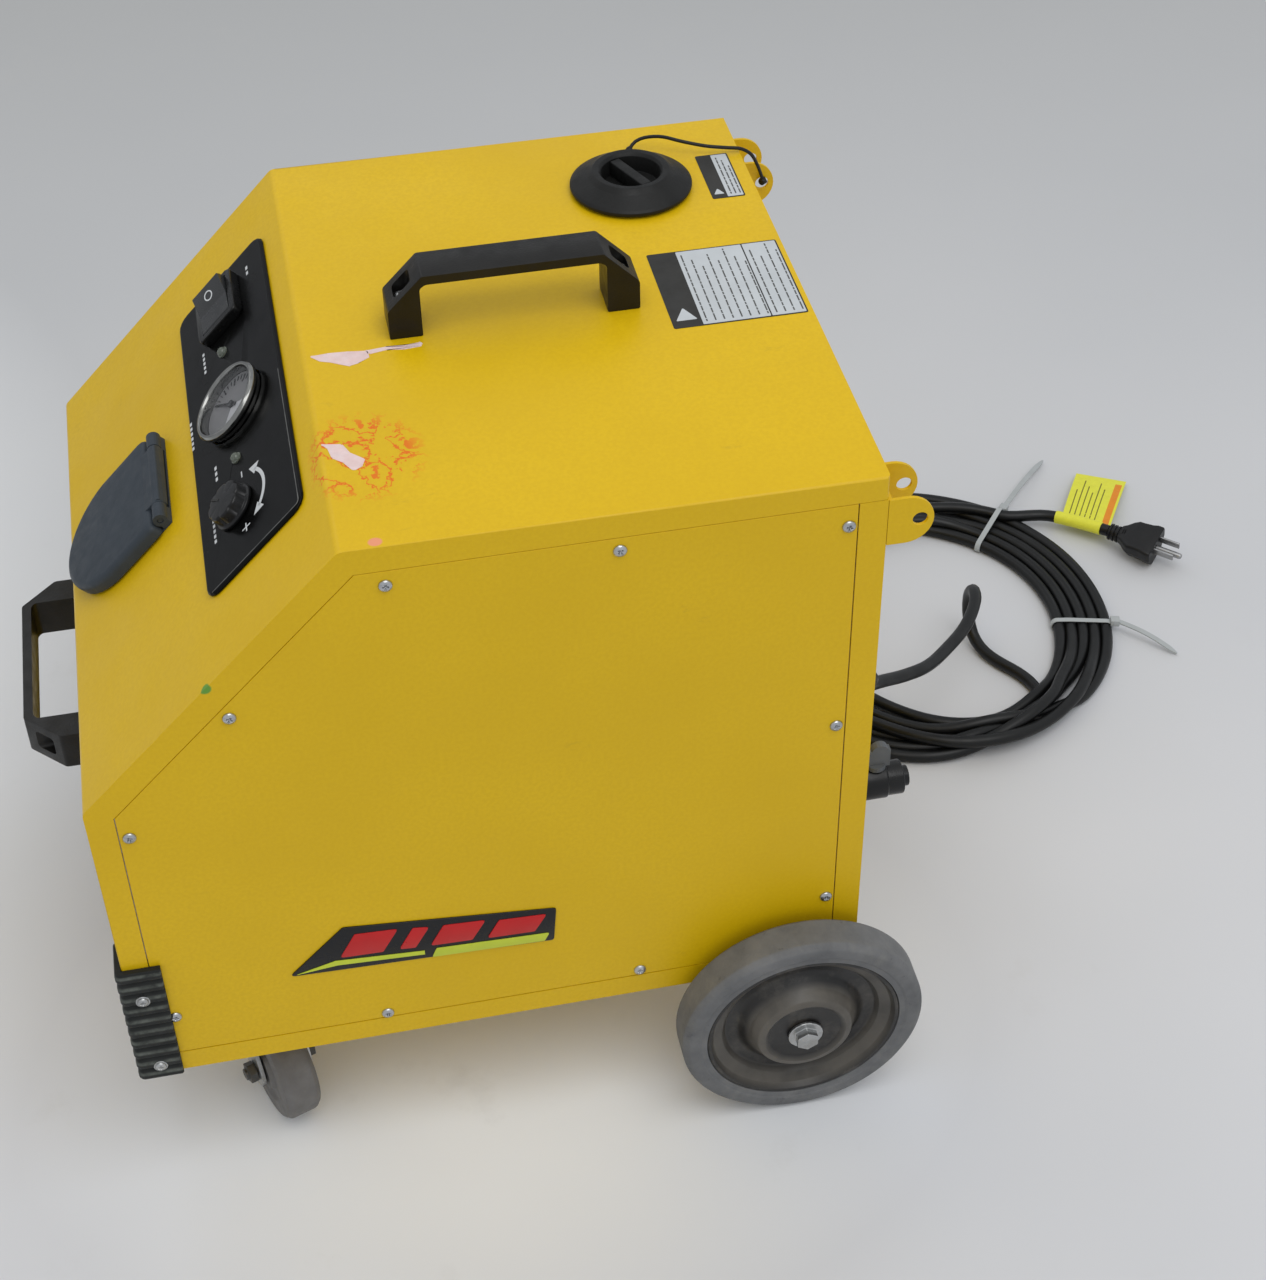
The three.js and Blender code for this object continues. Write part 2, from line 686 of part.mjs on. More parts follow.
// ---- rear wheels ----
function buildRearWheels() {
  const [inner, outer] = WHEEL_X;
  const end = outer + 1.4;
  const axle = cut(
    rod("x", AXLE_R, -end, end),
    rod("x", 4.2, end - 18, end + 5, 0, 0, 16),
    rod("x", 4.2, -end - 5, -end + 18, 0, 0, 16),
  );
  add(chassis, "rear_axle", axle, zinc).position.set(0, AXLE_Y, AXLE_Z);

  const tyre = turned("x", [
    [TYRE_IN_R, inner],
    [WHEEL_R - 3, inner],
    [WHEEL_R, inner + 3],
    [WHEEL_R, outer - 3],
    [WHEEL_R - 3, outer],
    [TYRE_IN_R, outer],
    [TYRE_IN_R, inner],
  ], 36);
  const rimR = TYRE_IN_R - GAP;
  const rim = turned("x", [
    [AXLE_R + 0.4, inner],
    [17, inner],
    [19, inner + 8],
    [55, inner + 9],
    [57, inner + 1],
    [rimR, inner + 1],
    [rimR, outer - 1],
    [57.5, outer - 1],
    [54, outer - 9],
    [26, outer - 10],
    [16, outer],
    [AXLE_R + 0.4, outer],
    [AXLE_R + 0.4, inner],
  ], 28);
  const hex = new THREE.CylinderGeometry(7.4, 7.4, 5.6, 6).rotateZ(-Math.PI / 2).translate(end + 5.2, 0, 0);
  const bolt = join(rod("x", 3.9, end - 14, end + 4, 0, 0, 16), rod("x", 11, end + 0.4, end + 2.6), hex);
  for (const [name, sign] of SIDES) {
    for (const [piece, geometry, material] of [
      ["rear_tyre_", tyre, greyRubber],
      ["rear_rim_", rim, blackPlastic],
      ["axle_bolt_", bolt, zinc],
    ]) {
      const made = add(chassis, piece + name, mirrored(toGeometry(toSolid(geometry)), sign), material);
      made.position.set(0, AXLE_Y, AXLE_Z);
    }
  }
}

// ---- casters: X is the way the wheel trails, the swivel axis is the group's Z ----
function casterPlate() {
  const head = turned("z", [[4.6, -12], [20, -12], [21, -7], [14, -3], [4.6, -3], [4.6, -12]], 18);
  const plate = extrude(roundedRect(-33, 33, -27, 27, 5), 3, { curveSegments: 1 }).translate(0, 0, -3.3);
  const bores = [-1, 1].flatMap((i) => [-1, 1].map((j) => rod("z", 3.2, -9, 3, i * 27, j * 20.5, 8)));
  return cut(join(head, plate), rod("z", 4.6, -20, 5, 0, 0, 20), ...bores);
}

function casterFork(axleZ) {
  const gap = CASTER_WIDTH / 2 + 1.6;
  const leg = 2.4;
  const side = (y0) => {
    const outline = new THREE.Shape();
    outline.moveTo(-19, -12.4);
    outline.lineTo(21, -12.4);
    outline.lineTo(CASTER_TRAIL + 10.5, axleZ + 4);
    outline.absarc(CASTER_TRAIL, axleZ, 11, 0.35, -Math.PI * 0.8, true);
    outline.closePath();
    return extrude(outline, leg, { curveSegments: 4 }).rotateX(Math.PI / 2).translate(0, y0 + leg, 0);
  };
  const crown = join(
    box(-19, 20, -gap - leg, gap + leg, -15, -12.4),
    rod("z", 21, -15, -12.4),
    rod("z", 4.2, -15, -0.8, 0, 0, 20),
  );
  return cut(
    join(crown, side(gap), side(-gap - leg)),
    rod("y", 4.3, -40, 40, CASTER_TRAIL, axleZ, 16),
  );
}

const casterWheel = () =>
  turned("y", [
    [4.4, -CASTER_WIDTH / 2],
    [22, -CASTER_WIDTH / 2],
    [23.5, -CASTER_WIDTH / 2 + 1.5],
    [CASTER_R - 3, -CASTER_WIDTH / 2 + 1.5],
    [CASTER_R, -CASTER_WIDTH / 2 + 5],
    [CASTER_R, CASTER_WIDTH / 2 - 5],
    [CASTER_R - 3, CASTER_WIDTH / 2 - 1.5],
    [23.5, CASTER_WIDTH / 2 - 1.5],
    [22, CASTER_WIDTH / 2],
    [4.4, CASTER_WIDTH / 2],
    [4.4, -CASTER_WIDTH / 2],
  ]);

function casterAxle() {
  const outer = CASTER_WIDTH / 2 + 1.6 + 2.4 + GAP;
  const head = new THREE.CylinderGeometry(7, 7, 4.6, 6).translate(0, outer + 2.3, 0);
  const nut = new THREE.CylinderGeometry(7, 7, 5.2, 6).translate(0, -outer - 2.6, 0);
  return join(rod("y", 3.9, -outer - 7, outer + 3, 0, 0, 16), head, nut);
}

function buildCasters() {
  const axleZ = CASTER_R - CLEARANCE;
  for (const [name, sign] of SIDES) {
    const foot = new THREE.Group();
    foot.position.set(sign * CASTER_AT.x, CASTER_AT.y, 0);
    chassis.add(foot);
    add(foot, "caster_plate_" + name, casterPlate(), zinc);
    const swivel = new THREE.Group();
    swivel.rotation.z = degrees(CASTER_YAW);
    foot.add(swivel);
    add(swivel, "caster_fork_" + name, casterFork(axleZ), zinc);
    for (const [piece, geometry, material] of [
      ["caster_wheel_", toGeometry(toSolid(casterWheel())), greyRubber],
      ["caster_axle_", casterAxle(), zinc],
    ]) {
      add(swivel, piece + name, geometry, material).position.set(CASTER_TRAIL, 0, axleZ);
    }
  }
}

// ---- inside: tank, pump, boiler, valve, pipe and board ----
const BOILER = { x: 84, y: 296, r: 78, low: 24, high: 262 };

function boiler() {
  const { r, low, high } = BOILER;
  const shell = turned("z", [
    [0, low + 4],
    [56, low + 14],
    [r, low + 34],
    [r, high - 34],
    [56, high - 14],
    [24, high - 2],
    [24, high - 8],
    [54, high - 18],
    [r - 4, high - 38],
    [r - 4, low + 38],
    [54, low + 18],
    [0, low + 8],
  ], 24);
  const feet = [0, 1, 2].map((i) => {
    const angle = degrees(90 + i * 120);
    return rod("z", 6, SHEET + GAP, low + 30, 62 * Math.cos(angle), 62 * Math.sin(angle), 8);
  });
  return join(shell, ...feet);
}

function heatingElement() {
  const top = BOILER.high + 0.3;
  const flange = join(rod("z", 34, top, top + 6), rod("z", 14, top + 5, top + 26, 0, 0, 20));
  const loop = tube(
    [
      [-10, 0, top + 2],
      [-10, 0, 150],
      [-8, 0, 80],
      [0, 0, 66],
      [8, 0, 80],
      [10, 0, 150],
      [10, 0, top + 2],
    ],
    4,
    24,
    8,
  );
  return join(flange, loop);
}

function waterTank() {
  const outer = box(-174, -22, 238, 424, SHEET + GAP, 338);
  const inner = box(-170, -26, 242, 420, SHEET + GAP + 4, 334);
  const mouth = box(CAP.x - 25, CAP.x + 25, CAP.y - 25, CAP.y + 25, 320, 350);
  return cut(outer, inner, mouth);
}

function waterPump() {
  const motor = rod("y", 26, 96, 190, -96, 44);
  const head = box(-126, -66, 188, 222, 14, 76);
  const foot = box(-124, -68, 100, 216, SHEET + GAP, 20);
  const port = rod("z", 6, 74, 92, -96, 205, 16);
  return join(motor, head, foot, port);
}

function solenoidValve() {
  const block = box(24, 60, 150, 186, 176, 212);
  const coilBody = rod("x", 17, 58, 100, 168, 194, 24);
  const port = rod("y", 7, 128, 152, 42, 194, 16);
  const stem = rod("z", 7, 210, 222, 42, 168, 16);
  const hanger = box(36, 48, 160, 176, SHEET + GAP, 178);
  return join(block, coilBody, port, stem, hanger);
}

// From the valve's front port to the back of the hose socket.
const STEAM_PIPE_ROUTE = [
  [42, 127.6, 194],
  [42, 112, 194],
  [40, 99, 199],
  [30, 90, 208],
  [16, 84, 216],
  [4, 80.5, 219],
  [-3, 77.5, 221],
];

function controlBoard() {
  const card = box(-70, 60, 128, 196, -62, -60.4);
  const parts = [
    box(-60, -36, 134, 156, -60.6, -44),
    box(-28, -10, 134, 152, -60.6, -46),
    box(6, 50, 136, 160, -60.6, -40),
    rod("z", 7, -60.6, -38, -48, 178, 18),
    box(-20, 40, 172, 180, -60.6, -50),
  ];
  const posts = [-64, 54].map((x) => box(x - 2, x + 2, 186, 190, -61, -1.9));
  return join(card, ...parts, ...posts);
}

function buildInside() {
  add(chassis, "boiler", boiler(), stainless).position.set(BOILER.x, BOILER.y, 0);
  add(chassis, "heating_element", heatingElement(), stainless).position.set(BOILER.x, BOILER.y, 0);
  add(chassis, "water_tank", waterTank(), tankPlastic);
  add(chassis, "water_pump", waterPump(), blackPlastic);
  add(chassis, "solenoid_valve", solenoidValve(), brass);
  add(chassis, "steam_pipe", tube(STEAM_PIPE_ROUTE, 4, 9, 8), stainless);
  add(slope, "control_board", controlBoard(), boardGreen);
}

// ---- drain valve ----
function buildDrain() {
  const group = new THREE.Group(); // Y runs out of the rear panel
  group.position.set(VALVE.x, LENGTH, VALVE.z);
  chassis.add(group);
  const { r, out, bossR, bossOut } = VALVE;
  const body = join(
    rod("y", 7.6, -22, 2, 0, 0, 20),
    turned("y", [
      [0, GAP],
      [r, GAP],
      [r, out - 11],
      [r - 1, out - 10],
      [r - 1, out],
      [0, out],
    ]),
    turned("y", [
      [0, out - 1],
      [bossR, out - 1],
      [bossR, out + bossOut],
      [4, out + bossOut],
      [4, out + 1],
      [0, out + 1],
    ], 16),
  );
  add(group, "drain_valve", cut(body, rod("z", 3.6, 4, 30, 0, 24, 14)), blackPlastic);
  const lever = join(
    rod("z", 3, 5, r + 2, 0, 24, 14),
    rod("z", 6, r + GAP, r + 3.5, 0, 24, 18),
    box(-2.6, 2.6, 18.4, 32, r + 2, r + 15),
    rod("x", 5.6, -2.6, 2.6, 25.4, r + 13.5, 18),
  );
  add(group, "drain_lever", lever, slatePlastic);
}

// ---- mains cord ----
const onFloor = (height) => height - CLEARANCE;
const GLAND_END = LENGTH + GLAND.length;
const LEAD_ROUTE = [
  [GLAND.x, GLAND_END + GAP, GLAND.z],
  [GLAND.x, GLAND_END + 14, GLAND.z - 0.8],
  [GLAND.x - 3.5, GLAND_END + 27, onFloor(188)],
  [26, GLAND_END + 36, onFloor(175)],
  [11, GLAND_END + 40.5, onFloor(158)],
  [-9, GLAND_END + 43, onFloor(137)],
  [-33, 518, onFloor(113)],
  [-54, 541.5, onFloor(95)],
  [-76, 565.5, onFloor(81)],
  [-102.4, 589.9, onFloor(71)],
  [-124.7, 609.5, onFloor(66.5)],
  [-143.6, 622, onFloor(64.5)],
  [-158, 629, onFloor(62.8)],
  [-172.5, 633, onFloor(58)],
  [-184.5, 634.8, onFloor(46)],
  [-188, 635.4, onFloor(33)],
  [-184, 636, onFloor(19)],
  [-174, 637.4, onFloor(9.2)],
  [-161, 641, onFloor(5.2)],
  [-147, 648, onFloor(5)],
];
const TAIL_ROUTE = [
  [-310, 723.6, onFloor(9)],
  [-302, 738, onFloor(10.4)],
  [-286, 760, onFloor(12)],
  [-266.3, 780.7, onFloor(13)],
];
// The plug's near end and its heading on the floor.
const PLUG = { x: -266, y: 781, height: 13, heading: 46, roll: 140 };

function plug() {
  const neck = turned("y", [
    [0, GAP],
    [6.4, GAP],
    [6.8, 8],
    [9, 11],
    [0, 11],
  ], 16);
  const plan = [[-9, 8], [9, 8], [13.4, 18], [13.4, 41], [-13.4, 41], [-13.4, 18]];
  const section = [[-13.4, -7.5], [13.4, -7.5], [13.4, 0], [8, 9.5], [-8, 9.5], [-13.4, 0]];
  const body = toGeometry(
    toSolid(extrude(shapeOf(plan), 30).translate(0, 0, -15)).intersect(
      toSolid(extrude(shapeOf(section), 60).rotateX(Math.PI / 2).translate(0, 60, 0)),
    ),
  );
  const blades = [-1, 1].map((side) => box(side * 6.35 - 0.75, side * 6.35 + 0.75, 40, 57.5, -7.2, -0.9));
  const tip = new THREE.SphereGeometry(2.4, 12, 6).translate(0, 60, 6.2);
  const ground = join(rod("y", 2.4, 40, 60, 0, 6.2, 12), tip);
  return join(neck, body, ...blades, ground);
}

function strainRelief() {
  return turned("y", [
    [0, -10],
    [8.6, -10],
    [8.6, GAP],
    [12, GAP],
    [12, 6],
    [9.4, 7.5],
    [8.4, 12],
    [6.4, GLAND.length],
    [0, GLAND.length],
  ], 24);
}

function buildCord() {
  add(chassis, "strain_relief", strainRelief(), blackRubber).position.set(GLAND.x, LENGTH, GLAND.z);
  add(chassis, "power_cord", tube(LEAD_ROUTE, CORD_R, 14, 10), blackRubber);
  const { inner, outer, height } = COIL;
  const ring = turned("z", [
    [inner + 8, 0],
    [outer - 8, 0],
    [outer, 9],
    [outer, height - 10],
    [outer - 12, height],
    [inner + 12, height],
    [inner, height - 10],
    [inner, 9],
    [inner + 8, 0],
  ], 32);
  const coil = add(chassis, "cord_coil", toGeometry(toSolid(ring)), blackRubber);
  coil.position.set(COIL.x, COIL.y, onFloor(GAP));
  coil.scale.y = COIL.depth; // pushed a little flat where it lies close to the right wheel
  add(chassis, "cord_tail", tube(TAIL_ROUTE, CORD_R, 16, 10), blackRubber);
  const piece = add(chassis, "power_plug", plug(), blackRubber);
  piece.position.set(PLUG.x, PLUG.y, onFloor(PLUG.height));
  piece.rotation.set(0, degrees(PLUG.roll), degrees(PLUG.heading - 90), "ZYX");
  add(chassis, "cap_tether", tube(TETHER_ROUTE, TETHER_R, 5, 8), blackRubber);
}

buildCabinet();
buildSlope();
buildFiller();
buildFittings();
buildRearWheels();
buildCasters();
buildInside();
buildDrain();
buildCord();

export default machine;
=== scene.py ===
import json
import math

import bmesh
import bpy
import numpy as np
from mathutils import Euler, Matrix, Vector


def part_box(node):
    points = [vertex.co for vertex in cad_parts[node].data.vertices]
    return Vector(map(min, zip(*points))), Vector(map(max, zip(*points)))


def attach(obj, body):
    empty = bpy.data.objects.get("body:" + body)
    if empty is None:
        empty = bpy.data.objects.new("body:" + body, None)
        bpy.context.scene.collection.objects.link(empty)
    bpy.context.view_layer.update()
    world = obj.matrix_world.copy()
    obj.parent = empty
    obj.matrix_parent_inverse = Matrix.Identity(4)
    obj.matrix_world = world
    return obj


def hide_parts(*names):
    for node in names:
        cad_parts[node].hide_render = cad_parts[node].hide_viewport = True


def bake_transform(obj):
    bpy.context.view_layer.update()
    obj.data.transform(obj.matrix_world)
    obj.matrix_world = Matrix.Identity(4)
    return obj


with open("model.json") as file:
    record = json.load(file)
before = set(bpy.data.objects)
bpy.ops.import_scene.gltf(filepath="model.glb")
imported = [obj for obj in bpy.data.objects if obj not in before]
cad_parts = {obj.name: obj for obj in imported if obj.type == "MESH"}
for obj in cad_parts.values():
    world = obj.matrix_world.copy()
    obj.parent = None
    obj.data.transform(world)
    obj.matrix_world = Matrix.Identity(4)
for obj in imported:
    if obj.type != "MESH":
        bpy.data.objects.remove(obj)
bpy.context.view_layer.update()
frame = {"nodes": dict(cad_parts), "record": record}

NODES = frame["nodes"]

# ---- driving dimensions in millimetres: x across, y from the cabinet's front, z from its underside ----
LENGTH = 436
HALF_WIDTH = 188
HEIGHT = 377
FRONT_HEIGHT = 223
SLOPE_RUN = 151
SHEET = 1.5
FLANGE = 15.5
CLEARANCE = 100
GAP = 0.3
CORD_R = 4.65
TETHER_R = 1.1
COIL = {"x": -202.5, "y": 606.5, "inner": 86, "outer": 159, "depth": 0.918}
GLAND = {"x": 40, "z": 95}
WHEEL_R = 76.2
WHEEL_IN, WHEEL_OUT = 195, 220.5
RIM_R = 60.7
AXLE_Y, AXLE_Z = 396.2, -23.8
CASTER = {"x": 116.2, "y": 66.7, "trail": 28, "r": 37.5, "half": 13, "yaw": 20}
CAP = {"x": -117.3, "y": 362.3, "r": 36.9}
FLAP = {"x": -4.1, "s": 51, "r": 42.6, "hinge": 91.7, "pin": 6.4, "top": 10.5}
GAUGE = {"x": 0, "s": 159.8, "r": 25.4, "top": 10.8}
KNOB = {"x": 83.8, "s": 150.5, "r": 14}
SWITCH = {"x": -96.5, "s": 160.5, "top": 9.4}
LAMPS = {"status_lamp": -58, "fill_lamp": 45}
LAMP_S = 156
PANEL_TOP = 2.6
BUMPER = {"low": -1.5, "high": 95.5, "wrap": 22, "out": 4, "ribs": 10}
VALVE = {"x": 131, "z": 93}
PLUG = {"x": -266, "y": 781, "z": 15, "heading": 46, "roll": 195}

# ---- where things are: local millimetres to the row frame's metres ----
MM = Matrix.Scale(0.001, 4)
FRONT_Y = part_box("wrap_cover")[0].y
TOP_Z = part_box("wrap_cover")[1].z
CH = Matrix.Translation((0, FRONT_Y, TOP_Z - HEIGHT / 1000)) @ MM
SLOPE_ANGLE = math.atan2(HEIGHT - FRONT_HEIGHT, SLOPE_RUN)
SLOPE = CH @ Matrix.Translation((0, 0, FRONT_HEIGHT)) @ Matrix.Rotation(SLOPE_ANGLE, 4, "X")
AS_SIDE = Matrix(((0, 0, 1, 0), (1, 0, 0, 0), (0, 1, 0, 0), (0, 0, 0, 1)))  # local x, y, z to y, z, x
SWAP_YZ = Matrix(((1, 0, 0, 0), (0, 0, 1, 0), (0, 1, 0, 0), (0, 0, 0, 1)))
Z_ALONG_Y = Matrix(((1, 0, 0, 0), (0, 0, 1, 0), (0, -1, 0, 0), (0, 0, 0, 1)))
SIDES = (("left", 1), ("right", -1))


def on(base, x=0, y=0, z=0):
    return base @ Matrix.Translation((x, y, z))


def turn(angle, axis):
    return Matrix.Rotation(math.radians(angle), 4, axis)


def floor_z(height):
    return height - CLEARANCE


# ---- camera ----
def make_camera():
    data = bpy.data.cameras.new("camera")
    data.lens = 65.35
    data.sensor_width = 36
    camera = bpy.data.objects.new("camera", data)
    camera.location = (1.08545, -0.09283, 1.21437)
    camera.rotation_euler = Euler([math.radians(a) for a in (47.948, 0.803, 78.399)])
    bpy.context.scene.collection.objects.link(camera)
    bpy.context.scene.camera = camera


make_camera()


# ---- mesh helpers ----
def finish_piece(name, bm, matrix, material, body="chassis", smooth=40):
    """A mesh object of bm in the row frame, shaded smooth up to an angle, which rides on a CAD body."""
    bmesh.ops.recalc_face_normals(bm, faces=bm.faces)
    mesh = bpy.data.meshes.new(name)
    bm.to_mesh(mesh)
    bm.free()
    mesh.transform(matrix)
    if matrix.determinant() < 0:
        mesh.flip_normals()
    piece = bpy.data.objects.new(name, mesh)
    bpy.context.scene.collection.objects.link(piece)
    if material:
        mesh.materials.append(material)
    mesh.shade_smooth()
    mesh.set_sharp_from_angle(angle=math.radians(smooth))
    if body:
        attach(piece, body)
    return piece


def fillet(points, radius, steps=4, closed=True):
    """Rounds a polyline's corners; radius is one number or one for each point."""
    count = len(points)
    radii = radius if isinstance(radius, (list, tuple)) else [radius] * count
    out = []
    for i, point in enumerate(points):
        p = Vector(point)
        if radii[i] <= 0 or (not closed and i in (0, count - 1)):
            out.append(tuple(p))
            continue
        before = Vector(points[i - 1]) - p
        after = Vector(points[(i + 1) % count]) - p
        half = before.angle(after) / 2
        if half > math.pi / 2 - 0.02:
            out.append(tuple(p))
            continue
        reach = min(radii[i] / math.tan(half), before.length * 0.49, after.length * 0.49)
        a = p + before.normalized() * reach
        b = p + after.normalized() * reach
        for k in range(steps + 1):
            t = k / steps
            out.append(tuple((1 - t) ** 2 * a + 2 * t * (1 - t) * p + t * t * b))
    return out


def arc(cx, cy, r, start, end, steps):
    return [
        (cx + r * math.cos(math.radians(a)), cy + r * math.sin(math.radians(a)))
        for a in np.linspace(start, end, steps + 1)
    ]


def rounded(x0, x1, y0, y1, r, steps=5):
    return fillet([(x0, y0), (x1, y0), (x1, y1), (x0, y1)], r, steps)


def ring_at(bm, points):
    return [bm.verts.new(point) for point in points]


def join_rings(bm, a, b):
    """Quads between two rings of as many points."""
    for i in range(len(a)):
        j = (i + 1) % len(a)
        bm.faces.new((a[i], a[j], b[j], b[i]))


def skin_into(bm, rings):
    """A closed body through a row of rings."""
    for a, b in zip(rings, rings[1:]):
        join_rings(bm, a, b)
    bm.faces.new(rings[0][::-1])
    bm.faces.new(rings[-1])


def prism_into(bm, outline, low, high, edge=0.0, steps=2, matrix=None):
    """A prism of a flat outline from low to high; edge rounds the rims of both ends."""
    bottom = [bm.verts.new((x, y, low)) for x, y in outline]
    top = [bm.verts.new((x, y, high)) for x, y in outline]
    made = [bm.faces.new(bottom[::-1]), bm.faces.new(top)]
    count = len(outline)
    for i in range(count):
        j = (i + 1) % count
        made.append(bm.faces.new((bottom[i], bottom[j], top[j], top[i])))
    verts = bottom + top
    if edge > 0:
        rims = [e for f in made[:2] for e in f.edges]
        done = bmesh.ops.bevel(
            bm, geom=rims, offset=edge, segments=steps, affect="EDGES", profile=0.5, clamp_overlap=True
        )
        verts = list({v for f in done["faces"] for v in f.verts} | {v for v in verts if v.is_valid})
    if matrix is not None:
        bmesh.ops.transform(bm, matrix=matrix, verts=verts)
    return verts


def prism(name, outline, low, high, matrix, material, body="chassis", edge=0.0, steps=2):
    bm = bmesh.new()
    prism_into(bm, outline, low, high, edge, steps)
    return finish_piece(name, bm, matrix, material, body, 35)


def lathe_into(bm, profile, sides=64, matrix=None, closed=False, dent=None):
    """A body of revolution about local Z; profile is (radius, height), and dent(r, h, angle) eats into it."""
    rings = []
    for r, h in profile:
        if r < 1e-6:
            rings.append([bm.verts.new((0, 0, h))])
            continue
        angles = [2 * math.pi * i / sides for i in range(sides)]
        reaches = [r - dent(r, h, a) if dent else r for a in angles]
        rings.append(ring_at(bm, [(q * math.cos(a), q * math.sin(a), h) for q, a in zip(reaches, angles)]))
    pairs = list(zip(rings, rings[1:]))
    if closed:
        pairs.append((rings[-1], rings[0]))
    for a, b in pairs:
        if len(a) > 1 and len(b) > 1:
            join_rings(bm, a, b)
            continue
        for i in range(sides):
            j = (i + 1) % sides
            if len(a) > 1:
                bm.faces.new((a[i], a[j], b[0]))
            elif len(b) > 1:
                bm.faces.new((a[0], b[j], b[i]))
    verts = [v for ring in rings for v in ring]
    if matrix is not None:
        bmesh.ops.transform(bm, matrix=matrix, verts=verts)
    return verts


def lathe(name, profile, matrix, material, body, sides=64, closed=False, smooth=35):
    bm = bmesh.new()
    lathe_into(bm, profile, sides, None, closed)
    return finish_piece(name, bm, matrix, material, body, smooth)


def apply_modifiers(piece):
    graph = bpy.context.evaluated_depsgraph_get()
    mesh = bpy.data.meshes.new_from_object(piece.evaluated_get(graph), depsgraph=graph)
    piece.modifiers.clear()
    piece.data = mesh
    return piece


def cut(piece, tools, smooth=35):
    """Takes each tool object out of piece and removes the tools."""
    for tool in tools:
        m = piece.modifiers.new("cut", "BOOLEAN")
        m.operation = "DIFFERENCE"
        m.solver = "EXACT"
        m.object = tool
    apply_modifiers(piece)
    for tool in tools:
        bpy.data.objects.remove(tool)
    piece.data.shade_smooth()
    piece.data.set_sharp_from_angle(angle=math.radians(smooth))
    return piece


def tool_prism(outline, low, high, matrix):
    return prism("tool", outline, low, high, matrix, None, None)


def rod_outline(x, y, r, sides=40):
    angles = [2 * math.pi * i / sides for i in range(sides)]
    return [(x + r * math.cos(a), y + r * math.sin(a)) for a in angles]


def spline_points(points, step):
    """Resamples a smooth line through the points, a step apart."""
    p = np.array(points, float)
    ext = np.vstack([2 * p[0] - p[1], p, 2 * p[-1] - p[-2]])
    dense = []
    for i in range(1, len(ext) - 2):
        a, b, c, d = ext[i - 1], ext[i], ext[i + 1], ext[i + 2]
        t0 = 0.0
        t1 = max(np.linalg.norm(b - a), 1e-6) ** 0.5
        t2 = t1 + max(np.linalg.norm(c - b), 1e-6) ** 0.5
        t3 = t2 + max(np.linalg.norm(d - c), 1e-6) ** 0.5
        for t in np.linspace(t1, t2, 24, endpoint=False):
            a1 = (t1 - t) / (t1 - t0) * a + (t - t0) / (t1 - t0) * b
            a2 = (t2 - t) / (t2 - t1) * b + (t - t1) / (t2 - t1) * c
            a3 = (t3 - t) / (t3 - t2) * c + (t - t2) / (t3 - t2) * d
            b1 = (t2 - t) / (t2 - t0) * a1 + (t - t0) / (t2 - t0) * a2
            b2 = (t3 - t) / (t3 - t1) * a2 + (t - t1) / (t3 - t1) * a3
            dense.append((t2 - t) / (t2 - t1) * b1 + (t - t1) / (t2 - t1) * b2)
    dense.append(p[-1])
    dense = np.array(dense)
    lengths = np.concatenate([[0], np.cumsum(np.linalg.norm(np.diff(dense, axis=0), axis=1))])
    count = max(2, int(round(lengths[-1] / step)))
    at = np.linspace(0, lengths[-1], count + 1)
    return np.stack([np.interp(at, lengths, dense[:, k]) for k in range(3)], 1)


def line_length(points):
    return float(np.linalg.norm(np.diff(points, axis=0), axis=1).sum())


def round_tube(name, points_m, radius_m, material, sides=12):
    """A closed mesh tube along points given in metres in the row frame, attached to no body."""
    p = [Vector(q) for q in points_m]
    bm = bmesh.new()
    normal = (p[1] - p[0]).normalized().orthogonal().normalized()
    angles = [2 * math.pi * k / sides for k in range(sides)]
    rings = []
    for i, point in enumerate(p):
        along = (p[min(i + 1, len(p) - 1)] - p[max(i - 1, 0)]).normalized()
        normal = (normal - along * normal.dot(along)).normalized()
        other = along.cross(normal)
        spokes = [normal * math.cos(a) + other * math.sin(a) for a in angles]
        rings.append(ring_at(bm, [point + radius_m * spoke for spoke in spokes]))
    skin_into(bm, rings)
    return finish_piece(name, bm, Matrix.Identity(4), material, None, 50)


# ---- material helpers ----
def linear(r, g, b):
    """An sRGB colour of 0 to 255 as linear RGBA."""
    def one(c):
        c /= 255
        return c / 12.92 if c <= 0.04045 else ((c + 0.055) / 1.055) ** 2.4
    return (one(r), one(g), one(b), 1)


